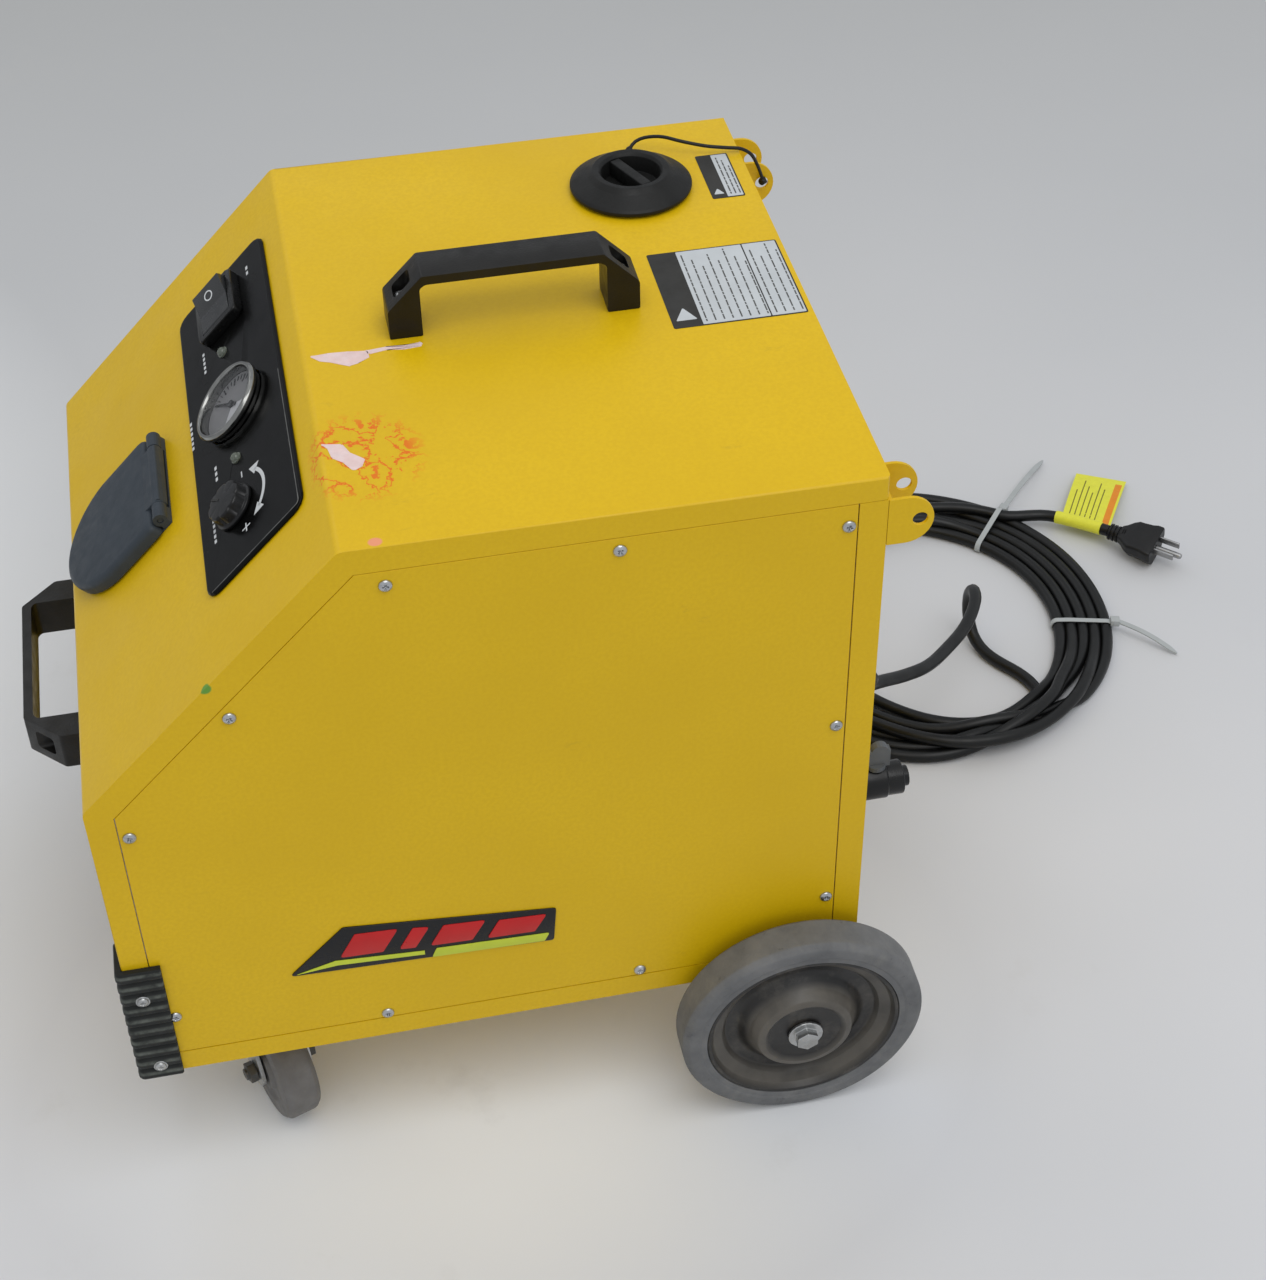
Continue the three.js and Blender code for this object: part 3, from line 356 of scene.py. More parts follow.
class Paint:
    """A material with a Principled shader and short calls for its nodes."""

    def __init__(self, name, roughness=0.5, metallic=0.0):
        self.material = bpy.data.materials.new(name)
        self.material.use_nodes = True
        self.tree = self.material.node_tree
        self.shader = self.tree.nodes["Principled BSDF"]
        self.shader.inputs["Roughness"].default_value = roughness
        self.shader.inputs["Metallic"].default_value = metallic
        self.place = self.tree.nodes.new("ShaderNodeTexCoord").outputs["Object"]

    def link(self, source, target):
        self.tree.links.new(source, target)

    def stretched(self, scale, at=(0, 0, 0)):
        node = self.tree.nodes.new("ShaderNodeMapping")
        node.inputs["Scale"].default_value = scale
        node.inputs["Location"].default_value = at
        self.link(self.place, node.inputs["Vector"])
        return node.outputs["Vector"]

    def noise(self, scale, detail=3, rough=0.5, vector=None):
        node = self.tree.nodes.new("ShaderNodeTexNoise")
        node.inputs["Scale"].default_value = scale
        node.inputs["Detail"].default_value = detail
        node.inputs["Roughness"].default_value = rough
        self.link(vector or self.place, node.inputs["Vector"])
        return node.outputs["Fac"]

    def ramp(self, source, *stops):
        """Stops are (position, value or colour)."""
        node = self.tree.nodes.new("ShaderNodeValToRGB")
        elements = node.color_ramp.elements
        while len(elements) < len(stops):
            elements.new(0.5)
        for element, (position, value) in zip(elements, stops):
            element.position = position
            element.color = value if hasattr(value, "__len__") else (value, value, value, 1)
        self.link(source, node.inputs["Fac"])
        return node.outputs["Color"]

    def mix(self, factor, a, b):
        node = self.tree.nodes.new("ShaderNodeMix")
        node.data_type = "RGBA"
        if isinstance(factor, (int, float)):
            node.inputs[0].default_value = factor
        else:
            self.link(factor, node.inputs[0])
        for index, value in ((6, a), (7, b)):
            if hasattr(value, "__len__"):
                node.inputs[index].default_value = value
            else:
                self.link(value, node.inputs[index])
        return node.outputs[2]

    def maths(self, operation, a, b=0.0, clamp=False):
        node = self.tree.nodes.new("ShaderNodeMath")
        node.operation = operation
        node.use_clamp = clamp
        for index, value in ((0, a), (1, b)):
            if isinstance(value, (int, float)):
                node.inputs[index].default_value = value
            else:
                self.link(value, node.inputs[index])
        return node.outputs[0]

    def near(self, centre, reach):
        """1 at a centre (metres in the row frame), falling to 0 at the ellipsoid's edge."""
        scale = tuple(1 / r for r in reach)
        at = tuple(-c * s for c, s in zip(centre, scale))
        node = self.tree.nodes.new("ShaderNodeVectorMath")
        node.operation = "LENGTH"
        self.link(self.stretched(scale, at), node.inputs[0])
        return self.maths("SUBTRACT", 1.0, node.outputs["Value"], True)

    def patches(self, scale, detail, a, b, rough=0.5, vector=None):
        """Soft patches of two colours or values."""
        return self.mix(self.ramp(self.noise(scale, detail, rough, vector), (0.3, 0.0), (0.7, 1.0)), a, b)

    def spot(self, base, centre, reach, colour):
        return self.mix(self.ramp(self.near(centre, reach), (0.1, 0.0), (0.3, 0.9)), base, colour)

    def colour(self, source):
        self.link(source, self.shader.inputs["Base Color"])

    def rough(self, source):
        self.link(source, self.shader.inputs["Roughness"])

    def gloss(self, scale, detail, low, high):
        """Roughness that wanders between low and high."""
        self.rough(self.ramp(self.noise(scale, detail), (0.3, low), (0.7, high)))

    def shine(self, level):
        self.shader.inputs["Specular IOR Level"].default_value = level

    def bump(self, source, distance, strength=1.0):
        node = self.tree.nodes.new("ShaderNodeBump")
        node.inputs["Distance"].default_value = distance
        node.inputs["Strength"].default_value = strength
        self.link(source, node.inputs["Height"])
        previous = self.shader.inputs["Normal"]
        if previous.is_linked:
            self.link(previous.links[0].from_socket, node.inputs["Normal"])
        self.link(node.outputs["Normal"], previous)


def plain(
    name, colour, roughness, vary=0.12, scale=60, bump=0.00004, bump_scale=900, wear=None, shine=0.35
):
    """A used surface of one colour: patchy tone, uneven gloss, fine bump and, with wear, some dust."""
    p = Paint(name, roughness)
    p.shine(shine)
    base = linear(*colour)
    dark = tuple(c * (1 - vary) for c in base[:3]) + (1,)
    light = tuple(min(1, c * (1 + vary)) for c in base[:3]) + (1,)
    tone = p.patches(scale, 5, dark, light, 0.6)
    if wear:
        dust, amount = wear
        mask = p.ramp(p.noise(scale * 0.45, 6, 0.7), (0.42, 0.0), (0.75, amount))
        tone = p.mix(mask, tone, linear(*dust))
    p.colour(tone)
    p.gloss(scale * 1.7, 4, max(0.03, roughness - 0.09), min(1, roughness + 0.09))
    if bump:
        p.bump(p.noise(bump_scale, 2), bump)
    return p.material


def row(x, y, z):
    """A cabinet place in metres in the row frame."""
    return tuple(CH @ Vector((x, y, z)))


def yellow_paint():
    p = Paint("yellow_powder_coat", 0.38)
    base = p.patches(9, 4, linear(218, 178, 8), linear(226, 186, 13))
    base = p.mix(p.ramp(p.noise(420, 2), (0.35, 0.0), (0.65, 0.5)), base, linear(214, 172, 6))
    # orange smears round the torn paper on the top
    curl = p.noise(52, 5, 0.62)
    rings = p.ramp(curl, (0.478, 0.0), (0.492, 1.0), (0.512, 1.0), (0.526, 0.0))
    fleck = p.maths("MAXIMUM", rings, p.ramp(curl, (0.62, 0.0), (0.635, 0.9)))
    smear = p.near(row(112, 172, HEIGHT), (0.04, 0.036, 0.012))
    stain = p.maths("MULTIPLY", fleck, p.ramp(smear, (0.0, 0.0), (0.3, 1.0)))
    base = p.mix(p.maths("MULTIPLY", stain, 0.85), base, linear(228, 88, 14))
    # faint rubbed marks all over, and a green and a pink spot
    rub = p.ramp(p.noise(38, 8, 0.78, p.stretched((1, 0.35, 1))), (0.64, 0.0), (0.72, 0.35))
    base = p.mix(rub, base, linear(176, 138, 40))
    green_at = tuple(SLOPE @ Vector((188.6, 107.6, 0)))
    base = p.spot(base, green_at, (0.0045, 0.0042, 0.0042), linear(70, 150, 60))
    base = p.spot(base, row(183.3, 170.6, HEIGHT), (0.004, 0.0045, 0.004), linear(236, 150, 120))
    p.colour(base)
    p.gloss(30, 5, 0.33, 0.46)
    p.bump(p.noise(620, 2, 0.4), 0.00009, 0.75)
    p.bump(p.noise(1900, 2), 0.00002, 0.5)
    p.shine(0.28)
    return p.material


def panel_black():
    p = Paint("panel_black")
    base = p.patches(70, 5, linear(6, 6, 6), linear(11, 11, 10))
    scratch = p.ramp(p.noise(90, 6, 0.8, p.stretched((0.25, 1, 1))), (0.66, 0.0), (0.7, 0.4))
    p.colour(p.mix(scratch, base, linear(44, 44, 42)))
    p.shine(0.1)
    p.gloss(45, 5, 0.16, 0.28)
    p.bump(p.noise(900, 2), 0.00002)
    return p.material


def clear(name, colour, roughness, alpha):
    p = Paint(name, roughness)
    p.shader.inputs["Base Color"].default_value = linear(*colour)
    p.shader.inputs["Alpha"].default_value = alpha
    p.shader.inputs["IOR"].default_value = 1.5
    p.shine(0.8)
    p.bump(p.noise(500, 2), 0.000004)
    return p.material


def rubber_tyre():
    p = Paint("tyre_rubber")
    tone = p.ramp(p.noise(40, 6, 0.65), (0.32, 0.0), (0.68, 1.0))
    base = p.mix(tone, linear(92, 93, 94), linear(114, 114, 114))
    dust = p.ramp(p.noise(26, 8, 0.75), (0.5, 0.0), (0.72, 0.6))
    base = p.mix(dust, base, linear(130, 128, 122))
    marks = p.ramp(p.noise(150, 6, 0.7), (0.62, 0.0), (0.7, 0.5))
    p.colour(p.mix(marks, base, linear(66, 66, 66)))
    p.gloss(60, 4, 0.62, 0.85)
    p.bump(p.noise(500, 5, 0.6), 0.00012, 0.8)
    return p.material


def ribbed_rubber():
    """Black rubber with a painted highlight, pale along the crests of the bumper's ribs."""
    p = Paint("bumper_rubber")
    base = p.patches(90, 5, linear(22, 24, 22), linear(33, 35, 33), 0.6)
    split = p.tree.nodes.new("ShaderNodeSeparateXYZ")
    p.link(p.place, split.inputs[0])
    pitch = (BUMPER["high"] - BUMPER["low"]) / BUMPER["ribs"] / 1000
    up = p.maths("SUBTRACT", split.outputs["Z"], row(0, 0, BUMPER["low"])[2])
    rib = p.maths("FRACT", p.maths("DIVIDE", up, pitch))
    # painted highlight: a pale band along the top of each rib, broken up by noise
    crest = p.ramp(rib, (0.5, 0.0), (0.64, 0.8), (0.74, 0.6), (0.82, 0.0))
    crest_highlight = p.maths("MULTIPLY", crest, p.ramp(p.noise(110, 5, 0.7), (0.32, 0.1), (0.6, 1.0)))
    p.colour(p.mix(crest_highlight, base, linear(104, 108, 101)))
    p.shine(0.3)
    p.gloss(150, 4, 0.45, 0.65)
    p.bump(p.noise(900, 2), 0.0001)
    return p.material


def rim_dust_and_sheen():
    """Black plastic with dust on the rim's ledge and a painted sheen on the dome round its hub."""
    p = Paint("rim_black")
    base = p.patches(50, 5, linear(27, 26, 25), linear(38, 36, 34))
    far_across = 1000  # the dust and the painted sheen follow the radius only, on both wheels
    inward = p.near(row(0, AXLE_Y, AXLE_Z), (far_across, RIM_R / 1000, RIM_R / 1000))
    ledge = [(0.03, 0.0), (0.07, 0.55), (0.19, 0.45), (0.24, 0.0)]
    # painted sheen: a pale ring on the dome round the hub
    dome_sheen = [(0.4, 0.0), (0.47, 0.7), (0.57, 0.6), (0.63, 0.0)]
    patchy = p.ramp(p.noise(60, 6), (0.3, 0.55), (0.6, 1.0))
    ledge_dust_and_dome_sheen = p.maths("MULTIPLY", p.ramp(inward, *ledge, *dome_sheen), patchy)
    # dust below carries the noise dust, the ledge dust and the painted dome sheen as one mask
    dust = p.maths("MAXIMUM", p.ramp(p.noise(32, 9, 0.72), (0.5, 0.0), (0.76, 0.5)), ledge_dust_and_dome_sheen)
    p.colour(p.mix(dust, base, linear(112, 106, 96)))
    clean = p.ramp(p.noise(40, 5), (0.3, 0.3), (0.7, 0.5))
    p.rough(p.maths("MAXIMUM", clean, p.maths("MULTIPLY", dust, 0.8)))
    p.bump(p.noise(420, 4), 0.00006)
    return p.material


def metal(name, colour, roughness, grain=(1, 1, 1), tarnish=None):
    p = Paint(name, roughness, 1.0)
    base = linear(*colour)
    dark = tuple(c * 0.72 for c in base[:3]) + (1,)
    tone = p.patches(120, 6, dark, base, 0.7, p.stretched(grain))
    if tarnish:
        tone = p.mix(p.ramp(p.noise(70, 7, 0.75), (0.52, 0.0), (0.7, 0.8)), tone, linear(*tarnish))
    p.colour(tone)
    p.gloss(140, 5, max(0.05, roughness - 0.08), roughness + 0.12)
    p.bump(p.noise(700, 3, 0.5, p.stretched(grain)), 0.00003)
    return p.material


YELLOW = yellow_paint()
PANEL = panel_black()
TYRE = rubber_tyre()
RIM = rim_dust_and_sheen()
ZINC = metal("zinc", (196, 197, 196), 0.34, tarnish=(150, 144, 134))
SCREW = metal("screw_steel", (200, 202, 205), 0.28)
DULL_STEEL = metal("dull_steel", (96, 95, 92), 0.4)
CHROME = metal("chrome", (150, 150, 147), 0.1)
BLADE = metal("plug_pins", (176, 176, 176), 0.36)
STEEL = metal("stainless", (190, 192, 194), 0.3, (1, 12, 1))
BRASS = metal("brass", (186, 146, 76), 0.34)
SWITCH_BLACK = plain("switch_black", (10, 10, 10), 0.24, vary=0.2, bump=0.00002)
ROCKER_BLACK = plain("rocker_black", (34, 35, 36), 0.3, vary=0.12, bump=0.00003, shine=0.5)
KNOB_BLACK = plain("knob_black", (10, 10, 11), 0.32, vary=0.2, bump=0.00003)
HANDLE_BLACK = plain(
    "handle_black", (20, 19, 17), 0.4, 0.25, bump=0.00012, bump_scale=700,
    wear=((44, 42, 39), 0.25), shine=0.3,
)
CAP_BLACK = plain(
    "cap_black", (23, 23, 22), 0.46, 0.2, bump=0.0001, bump_scale=750, wear=((38, 38, 39), 0.35), shine=0.25
)
SLATE = plain(
    "slate_plastic", (52, 59, 66), 0.5, 0.07, 80, 0.00013, 800, wear=((66, 72, 78), 0.4), shine=0.25
)
BUMPER_BLACK = ribbed_rubber()
CORD_BLACK = plain("cord_black", (11, 12, 12), 0.4, 0.25, 35, 0.00005, wear=((34, 34, 33), 0.35))
PLUG_BLACK = plain("plug_black", (17, 17, 18), 0.45, vary=0.2, bump=0.00008, wear=((44, 42, 40), 0.3))
TETHER = plain("tether_black", (24, 23, 23), 0.5, vary=0.2)
VALVE_BLACK = plain("valve_black", (14, 14, 15), 0.3, vary=0.2, wear=((40, 39, 37), 0.3))
LEVER_GREY = plain("lever_grey", (92, 95, 98), 0.5)
CASTER_GREY = plain("caster_grey", (112, 110, 108), 0.6, 0.12, 90, 0.0001, wear=((92, 88, 84), 0.6))
TIE = plain("tie_nylon", (172, 176, 176), 0.32, vary=0.06)
# painted highlight: the pale grey of the line along the panel's rounded rim
RIM_HIGHLIGHT = plain("painted_rim_highlight", (104, 104, 101), 0.4, vary=0.4, scale=150)
WHITE_INK = plain("white_ink", (206, 208, 208), 0.6, vary=0.08)
PAPER = plain("torn_paper", (228, 206, 204), 0.85, 0.06, 180, 0.0002, 400, ((224, 168, 150), 0.4))
LABEL_DARK = plain("label_dark", (44, 43, 40), 0.5, vary=0.12)
LABEL_TEXT = plain("label_text", (82, 82, 80), 0.6, vary=0.1)
LABEL_GREY = plain("label_grey", (193, 197, 199), 0.5, vary=0.05)
TAG_YELLOW = plain("tag_yellow", (228, 226, 66), 0.5, vary=0.05, scale=200)
TAG_ORANGE = plain("tag_orange", (232, 140, 30), 0.5, vary=0.05, scale=200)
TAG_LINE = plain("tag_line", (120, 116, 40), 0.6, vary=0.05, scale=200)
EMBLEM_RED = plain("emblem_red", (196, 26, 28), 0.35, vary=0.06, bump=0.00001)
EMBLEM_GREEN = plain("emblem_green", (196, 208, 60), 0.35, vary=0.06, bump=0.00001)
EMBLEM_BLACK = plain("emblem_black", (22, 22, 24), 0.3, vary=0.15, bump=0.00001)
DIAL = plain("dial_face", (118, 117, 118), 0.5, vary=0.05, bump=0)
DIAL_LIGHT = plain("dial_light", (186, 186, 188), 0.5, vary=0.03, bump=0)
DARK = plain("inner_black", (28, 28, 28), 0.7)
TANK = plain("tank_plastic", (214, 220, 222), 0.55)
BOARD = plain("board_green", (24, 92, 52), 0.5)
GLASS = clear("gauge_glass", (150, 152, 154), 0.03, 0.07)
LAMP = clear("lamp_lens", (112, 118, 106), 0.05, 0.6)

SLOT_LOOKS = {
    "yellow_paint": YELLOW,
    "frame_steel": ZINC,
    "panel_black": PANEL,
    "switch_black": SWITCH_BLACK,
    "lamp_lens": LAMP,
    "gauge_chrome": CHROME,
    "gauge_face": DIAL,
    "gauge_hand": SWITCH_BLACK,
    "gauge_glass": GLASS,
    "inner_black": DARK,
    "socket_grey": SLATE,
    "stainless": STEEL,
    "cap_black": CAP_BLACK,
    "tether_black": TETHER,
    "handle_black": HANDLE_BLACK,
    "bumper_rubber": BUMPER_BLACK,
    "zinc": ZINC,
    "tyre_grey": TYRE,
    "rim_black": RIM,
    "brass": BRASS,
    "tank_plastic": TANK,
    "board_green": BOARD,
    "valve_black": VALVE_BLACK,
    "cord_black": CORD_BLACK,
}
# the rounding of the CAD nodes that are shown, in millimetres
EDGES = {"control_panel": 1.9, "drain_lever": 0.5}
PAIR_EDGES = {"side_panel": 0.5, "lug_bracket": 0.5, "caster_fork": 0.4, "caster_axle": 0.5, "axle_bolt": 0.6}
for NAME, _ in SIDES:
    EDGES.update({node + "_" + NAME: edge for node, edge in PAIR_EDGES.items()})


def dress_cad_nodes():
    """Gives every CAD node the look of its slot, and rounds the edges of those that are shown."""
    for part in frame["record"]["subparts"]:
        node = NODES[part["node"]]
        for place in node.material_slots:
            place.material = SLOT_LOOKS[part["material_slot"]]
        edge = EDGES.get(part["node"])
        if not edge:
            continue
        weld = node.modifiers.new("weld", "WELD")
        weld.merge_threshold = 0.00001
        bevel = node.modifiers.new("edges", "BEVEL")
        bevel.width = edge / 1000
        bevel.segments = 3
        bevel.limit_method = "ANGLE"
        bevel.angle_limit = math.radians(32)
        bevel.harden_normals = True
    NODES["drain_lever"].material_slots[0].material = LEVER_GREY
    NODES["flap_hinge_pin"].material_slots[0].material = SLATE
    for side, _ in SIDES:
        NODES["caster_axle_" + side].material_slots[0].material = DULL_STEEL


# ---- mains cord: out of its gland, six loose turns on the floor, and a tail to its plug ----
LEAD = [
    (40, 450, 195), (40, 459, 195), (38.8, 469.6, 193.6), (35.4, 478.9, 189.4), (30.2, 485.8, 183.1),
    (24.5, 489.3, 176.1), (7.1, 494.9, 155.1), (-10, 499.5, 135.5), (-27, 506.5, 119), (-42, 520.5, 106),
    (-57, 542, 93.5), (-76, 565.5, 81), (-102.4, 589.9, 71), (-124.7, 609.5, 66.5), (-143.6, 622, 64.5),
    (-158, 629, 62.8), (-172.5, 633, 58), (-184.5, 634.8, 46), (-188, 635.4, 33), (-184, 636, 19),
    (-174, 637.4, 9.2), (-161, 641, 5.2), (-147, 648, 5),
]
TAIL = [(-301.3, 738.7, 11), (-285.4, 760.2, 13.2), (-266.3, 780.7, 15)]
TURNS = 6
PACK = [-9, 12, 29, 1, 21, 7]  # how far each turn lies from the middle of the band where it is tied
LYING = 5  # the height of the cord's centreline where it lies on the floor
PACK_HEIGHT = [LYING] * 5 + [13.5]  # the last turn lies on the others
FAN = [20, -24, 27, -10, 33, 8]  # the same on the loose side, opposite the ties
SKEW = [4, -8, 10, -12, 8, -10]  # how far a loose turn leans to one side
CROSSING = 0.3  # the part of a turn in which one radius gives way to the next
TIED_AT = 118  # degrees round the coil
ENTRY_R = 45  # the bend where the lead runs into the first turn
RUN_IN = 20  # how far the lead runs straight on before that bend
STARTS_AT, ENDS_AT = 39.0, 134.0  # degrees round the coil, of the first turn's start and the last one's end
STRIDE = 3.4  # degrees from one target point to the next
TAIL_RISE, TAIL_OUT, TAIL_POINTS = 10, 22, 22  # where the last turn leaves for the plug
CORD_STEP = 6.5  # from one point of the cord's line to the next


def smooth_step(t):
    """0 to 1 as t goes from 0 to 1, with level ends."""
    t = min(1.0, max(0.0, t))
    return t * t * (3 - 2 * t)


def turn_radius(k, angle):
    """Where turn k lies at an angle: close at the ties, spread on the loose side."""
    middle = (COIL["inner"] + COIL["outer"]) / 2
    a = math.radians(angle - TIED_AT)
    loose = (1 - math.cos(a)) / 2
    r = middle + (1 - loose) * PACK[k] + loose * FAN[k] + SKEW[k] * math.sin(a) * loose**0.5
    return min(COIL["outer"] - 5.2, max(COIL["inner"] + 5.5, r))


def on_coil(r, angle, height):
    """A point at a radius of the coil's oval; the angle is in radians."""
    return COIL["x"] + r * math.cos(angle), COIL["y"] + COIL["depth"] * r * math.sin(angle), height


def coil_targets():
    """The turns' centreline, clockwise from where the lead runs in to where the tail runs out."""
    end = ENDS_AT - 360 * TURNS
    entry = LEAD[-1]
    from_x, from_y = entry[0] - COIL["x"], (entry[1] - COIL["y"]) / COIL["depth"]
    first = math.degrees(math.atan2(from_y, from_x))
    reach = math.hypot(from_y, from_x)
    out = [on_coil(r, math.radians(first), LYING) for r in (reach + RUN_IN / 2, reach + RUN_IN)]
    reach += RUN_IN
    for turned_by in (25, 50, 75):
        t = math.radians(turned_by)
        r = reach + ENTRY_R * math.sin(t)
        a = math.radians(first) - ENTRY_R * (1 - math.cos(t)) / r
        out.append(on_coil(r, a, LYING))
    begin = STARTS_AT - 25
    count = int((begin - end) / STRIDE)
    for i in range(count + 1):
        angle = begin + (end - begin) * i / count
        turns = (STARTS_AT - angle) / 360
        k = min(TURNS - 1, int(turns))
        before = max(0, k - 1)
        part = smooth_step((turns - k) / CROSSING + 0.3) if k else 1.0
        r = (1 - part) * turn_radius(before, angle) + part * turn_radius(k, angle)
        h = (1 - part) * PACK_HEIGHT[before] + part * PACK_HEIGHT[k]
        if k:  # the later turns climb over the lead where it comes in
            off = abs((angle - first + 12 + 180) % 360 - 180)
            h = max(h, LYING + 9.8 * smooth_step((48 - off) / 26))
        join = smooth_step(i / 20)
        r = (1 - join) * (reach + ENTRY_R + 1) + join * r
        away = max(0.0, (i - count + TAIL_POINTS) / TAIL_POINTS) ** 2
        r += TAIL_OUT * away
        h = (1 - away) * h + away * TAIL_RISE
        out.append(on_coil(r, math.radians(angle), h))
    return out


SINK = 0.22  # how far a free strand falls in each round of settling
HOLD = 0.985  # how much of its sideways shift it keeps


def settle(target, fixed_from, fixed_to, rounds=170, neighbours=7):
    """Pushes strands that share space apart and lets them sink to the floor, then smooths the line."""
    p = target.copy()
    index = np.arange(len(p))
    apart = np.abs(index[:, None] - index[None, :]) > neighbours
    free = np.clip((index - fixed_from) / 12, 0, 1) * np.clip((fixed_to - index) / 16, 0, 1)
    need = 2 * CORD_R + 0.25
    kernel = np.array([0.12, 0.2, 0.36, 0.2, 0.12])
    # the strand that starts higher goes over, and of two at one height the later one
    later = 1e-3 * (index[:, None] - index[None, :])
    above = np.sign(target[:, None, 2] - target[None, :, 2] + later)
    for _ in range(rounds):
        delta = p[:, None, :] - p[None, :, :]
        gap = np.sqrt((delta**2).sum(2)) + 1e-6
        close = (gap < need) & apart
        push = np.where(close, (need - gap) / gap, 0.0)[:, :, None] * delta
        lift = np.where(close, 0.35 * (need - gap), 0.0) * above
        move = 0.32 * push.sum(1)
        move[:, 2] += 0.5 * lift.sum(1)
        shift = (p - target) + move
        shift[:, 2] -= SINK
        shift[:, :2] *= HOLD
        for k in range(3):
            padded = np.pad(shift[:, k], 2, mode="edge")
            shift[:, k] = np.convolve(padded, kernel, mode="valid")
        p = target + shift * free[:, None]
        p[:, 2] = np.clip(p[:, 2], CORD_R + 0.35, None)
    for axes, passes in (([0, 1], 3), ([2], 9)):
        for _ in range(passes):
            middle = 0.25 * (p[:-2, axes] + p[2:, axes]) - 0.5 * p[1:-1, axes]
            p[1:-1, axes] += middle * free[1:-1, None]
    return p


def cord_line():
    """The cord's whole centreline, in cabinet millimetres with heights above the floor."""
    whole = spline_points(LEAD + coil_targets() + TAIL, CORD_STEP)
    first = int(line_length(spline_points(LEAD, CORD_STEP)) / CORD_STEP) - 4
    last = len(whole) - int(line_length(spline_points(TAIL, CORD_STEP)) / CORD_STEP) - 1
    return settle(whole, first, last)


CORD = cord_line()
CORD_M = np.array([tuple(CH @ Vector((x, y, floor_z(h)))) for x, y, h in CORD])


def power_cord():
    data = bpy.data.curves.new("mains_cord", "CURVE")
    data.dimensions = "3D"
    data.bevel_depth = CORD_R / 1000
    data.bevel_resolution = 4
    data.use_fill_caps = True
    data.materials.append(CORD_BLACK)
    spline = data.splines.new("POLY")
    spline.points.add(len(CORD_M) - 1)
    for point, place in zip(spline.points, CORD_M):
        point.co = (*place, 1)
    spline.use_smooth = True
    cord = bpy.data.objects.new("mains_cord", data)
    bpy.context.scene.collection.objects.link(cord)
    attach(cord, "chassis")
    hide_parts("power_cord", "cord_coil", "cord_tail")
    return cord


def plug_matrix():
    """The plug's frame: Y runs from the neck to the pins."""
    at = on(CH, PLUG["x"], PLUG["y"], floor_z(PLUG["z"]))
    return at @ turn(PLUG["heading"] - 90, "Z") @ turn(PLUG["roll"], "Y")


PLUG_SECTIONS = [  # distance along the plug, half width, top and bottom
    (9.5, 6.5, 6.0, -5.5), (13, 8.5, 7.5, -6.5), (17, 12.0, 9.6, -7.6),
    (21, 14.2, 10.6, -8.4), (25, 14.0, 10.8, -8.8), (32, 14.6, 11.2, -9.2),
    (36, 15.8, 11.6, -9.4), (40.2, 15.8, 11.4, -9.2), (41, 15.2, 10.8, -8.7),
]


def plug_pieces():
    """The moulded plug with its stepped neck, two flat blades and the round earth pin."""
    bm = bmesh.new()
    neck = [(0, 0.3), (5.4, 0.3)]
    for i in range(4):
        h = 0.6 + i * 3.2
        neck += [(6.6, h), (6.9, h + 1.6), (5.7, h + 1.9), (5.7, h + 2.9)]
    neck += [(7.4, 13.6), (0, 13.6)]
    lathe_into(bm, neck, 28, Z_ALONG_Y)
    rings = []
    for y, half, top, low in PLUG_SECTIONS:
        shoulder = half * 0.62
        corners = [(-half, low), (half, low), (half, 0.5), (shoulder, top), (-shoulder, top), (-half, 0.5)]
        rings.append(ring_at(bm, [(u, y, v) for u, v in fillet(corners, 2.6, 4)]))
    skin_into(bm, rings)
    body = finish_piece("plug_body", bm, plug_matrix(), PLUG_BLACK, "chassis")
    bm = bmesh.new()
    for x in (-6.35, 6.35):
        prism_into(bm, rounded(x - 0.75, x + 0.75, -7.2, -0.9, 0.4, 2), 40, 57.5, 0.3, 2, SWAP_YZ)
    lathe_into(bm, [(0, 40), (2.4, 40), (2.4, 60), (2.2, 61.2), (1.5, 62.1), (0, 62.4)], 24, SWAP_YZ)
    pins = finish_piece("plug_pins", bm, plug_matrix(), BLADE)
    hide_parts("power_plug")
    return [body, pins]


def hull(points):
    """The convex outline round flat points."""
    pts = sorted(set((round(x, 3), round(y, 3)) for x, y in points))

    def half(run):
        out = []
        for q in run:
            while len(out) > 1:
                (ax, ay), (bx, by) = out[-2], out[-1]
                if (bx - ax) * (q[1] - ay) - (by - ay) * (q[0] - ax) > 0:
                    break
                out.pop()
            out.append(q)
        return out[:-1]

    return half(pts) + half(pts[::-1])


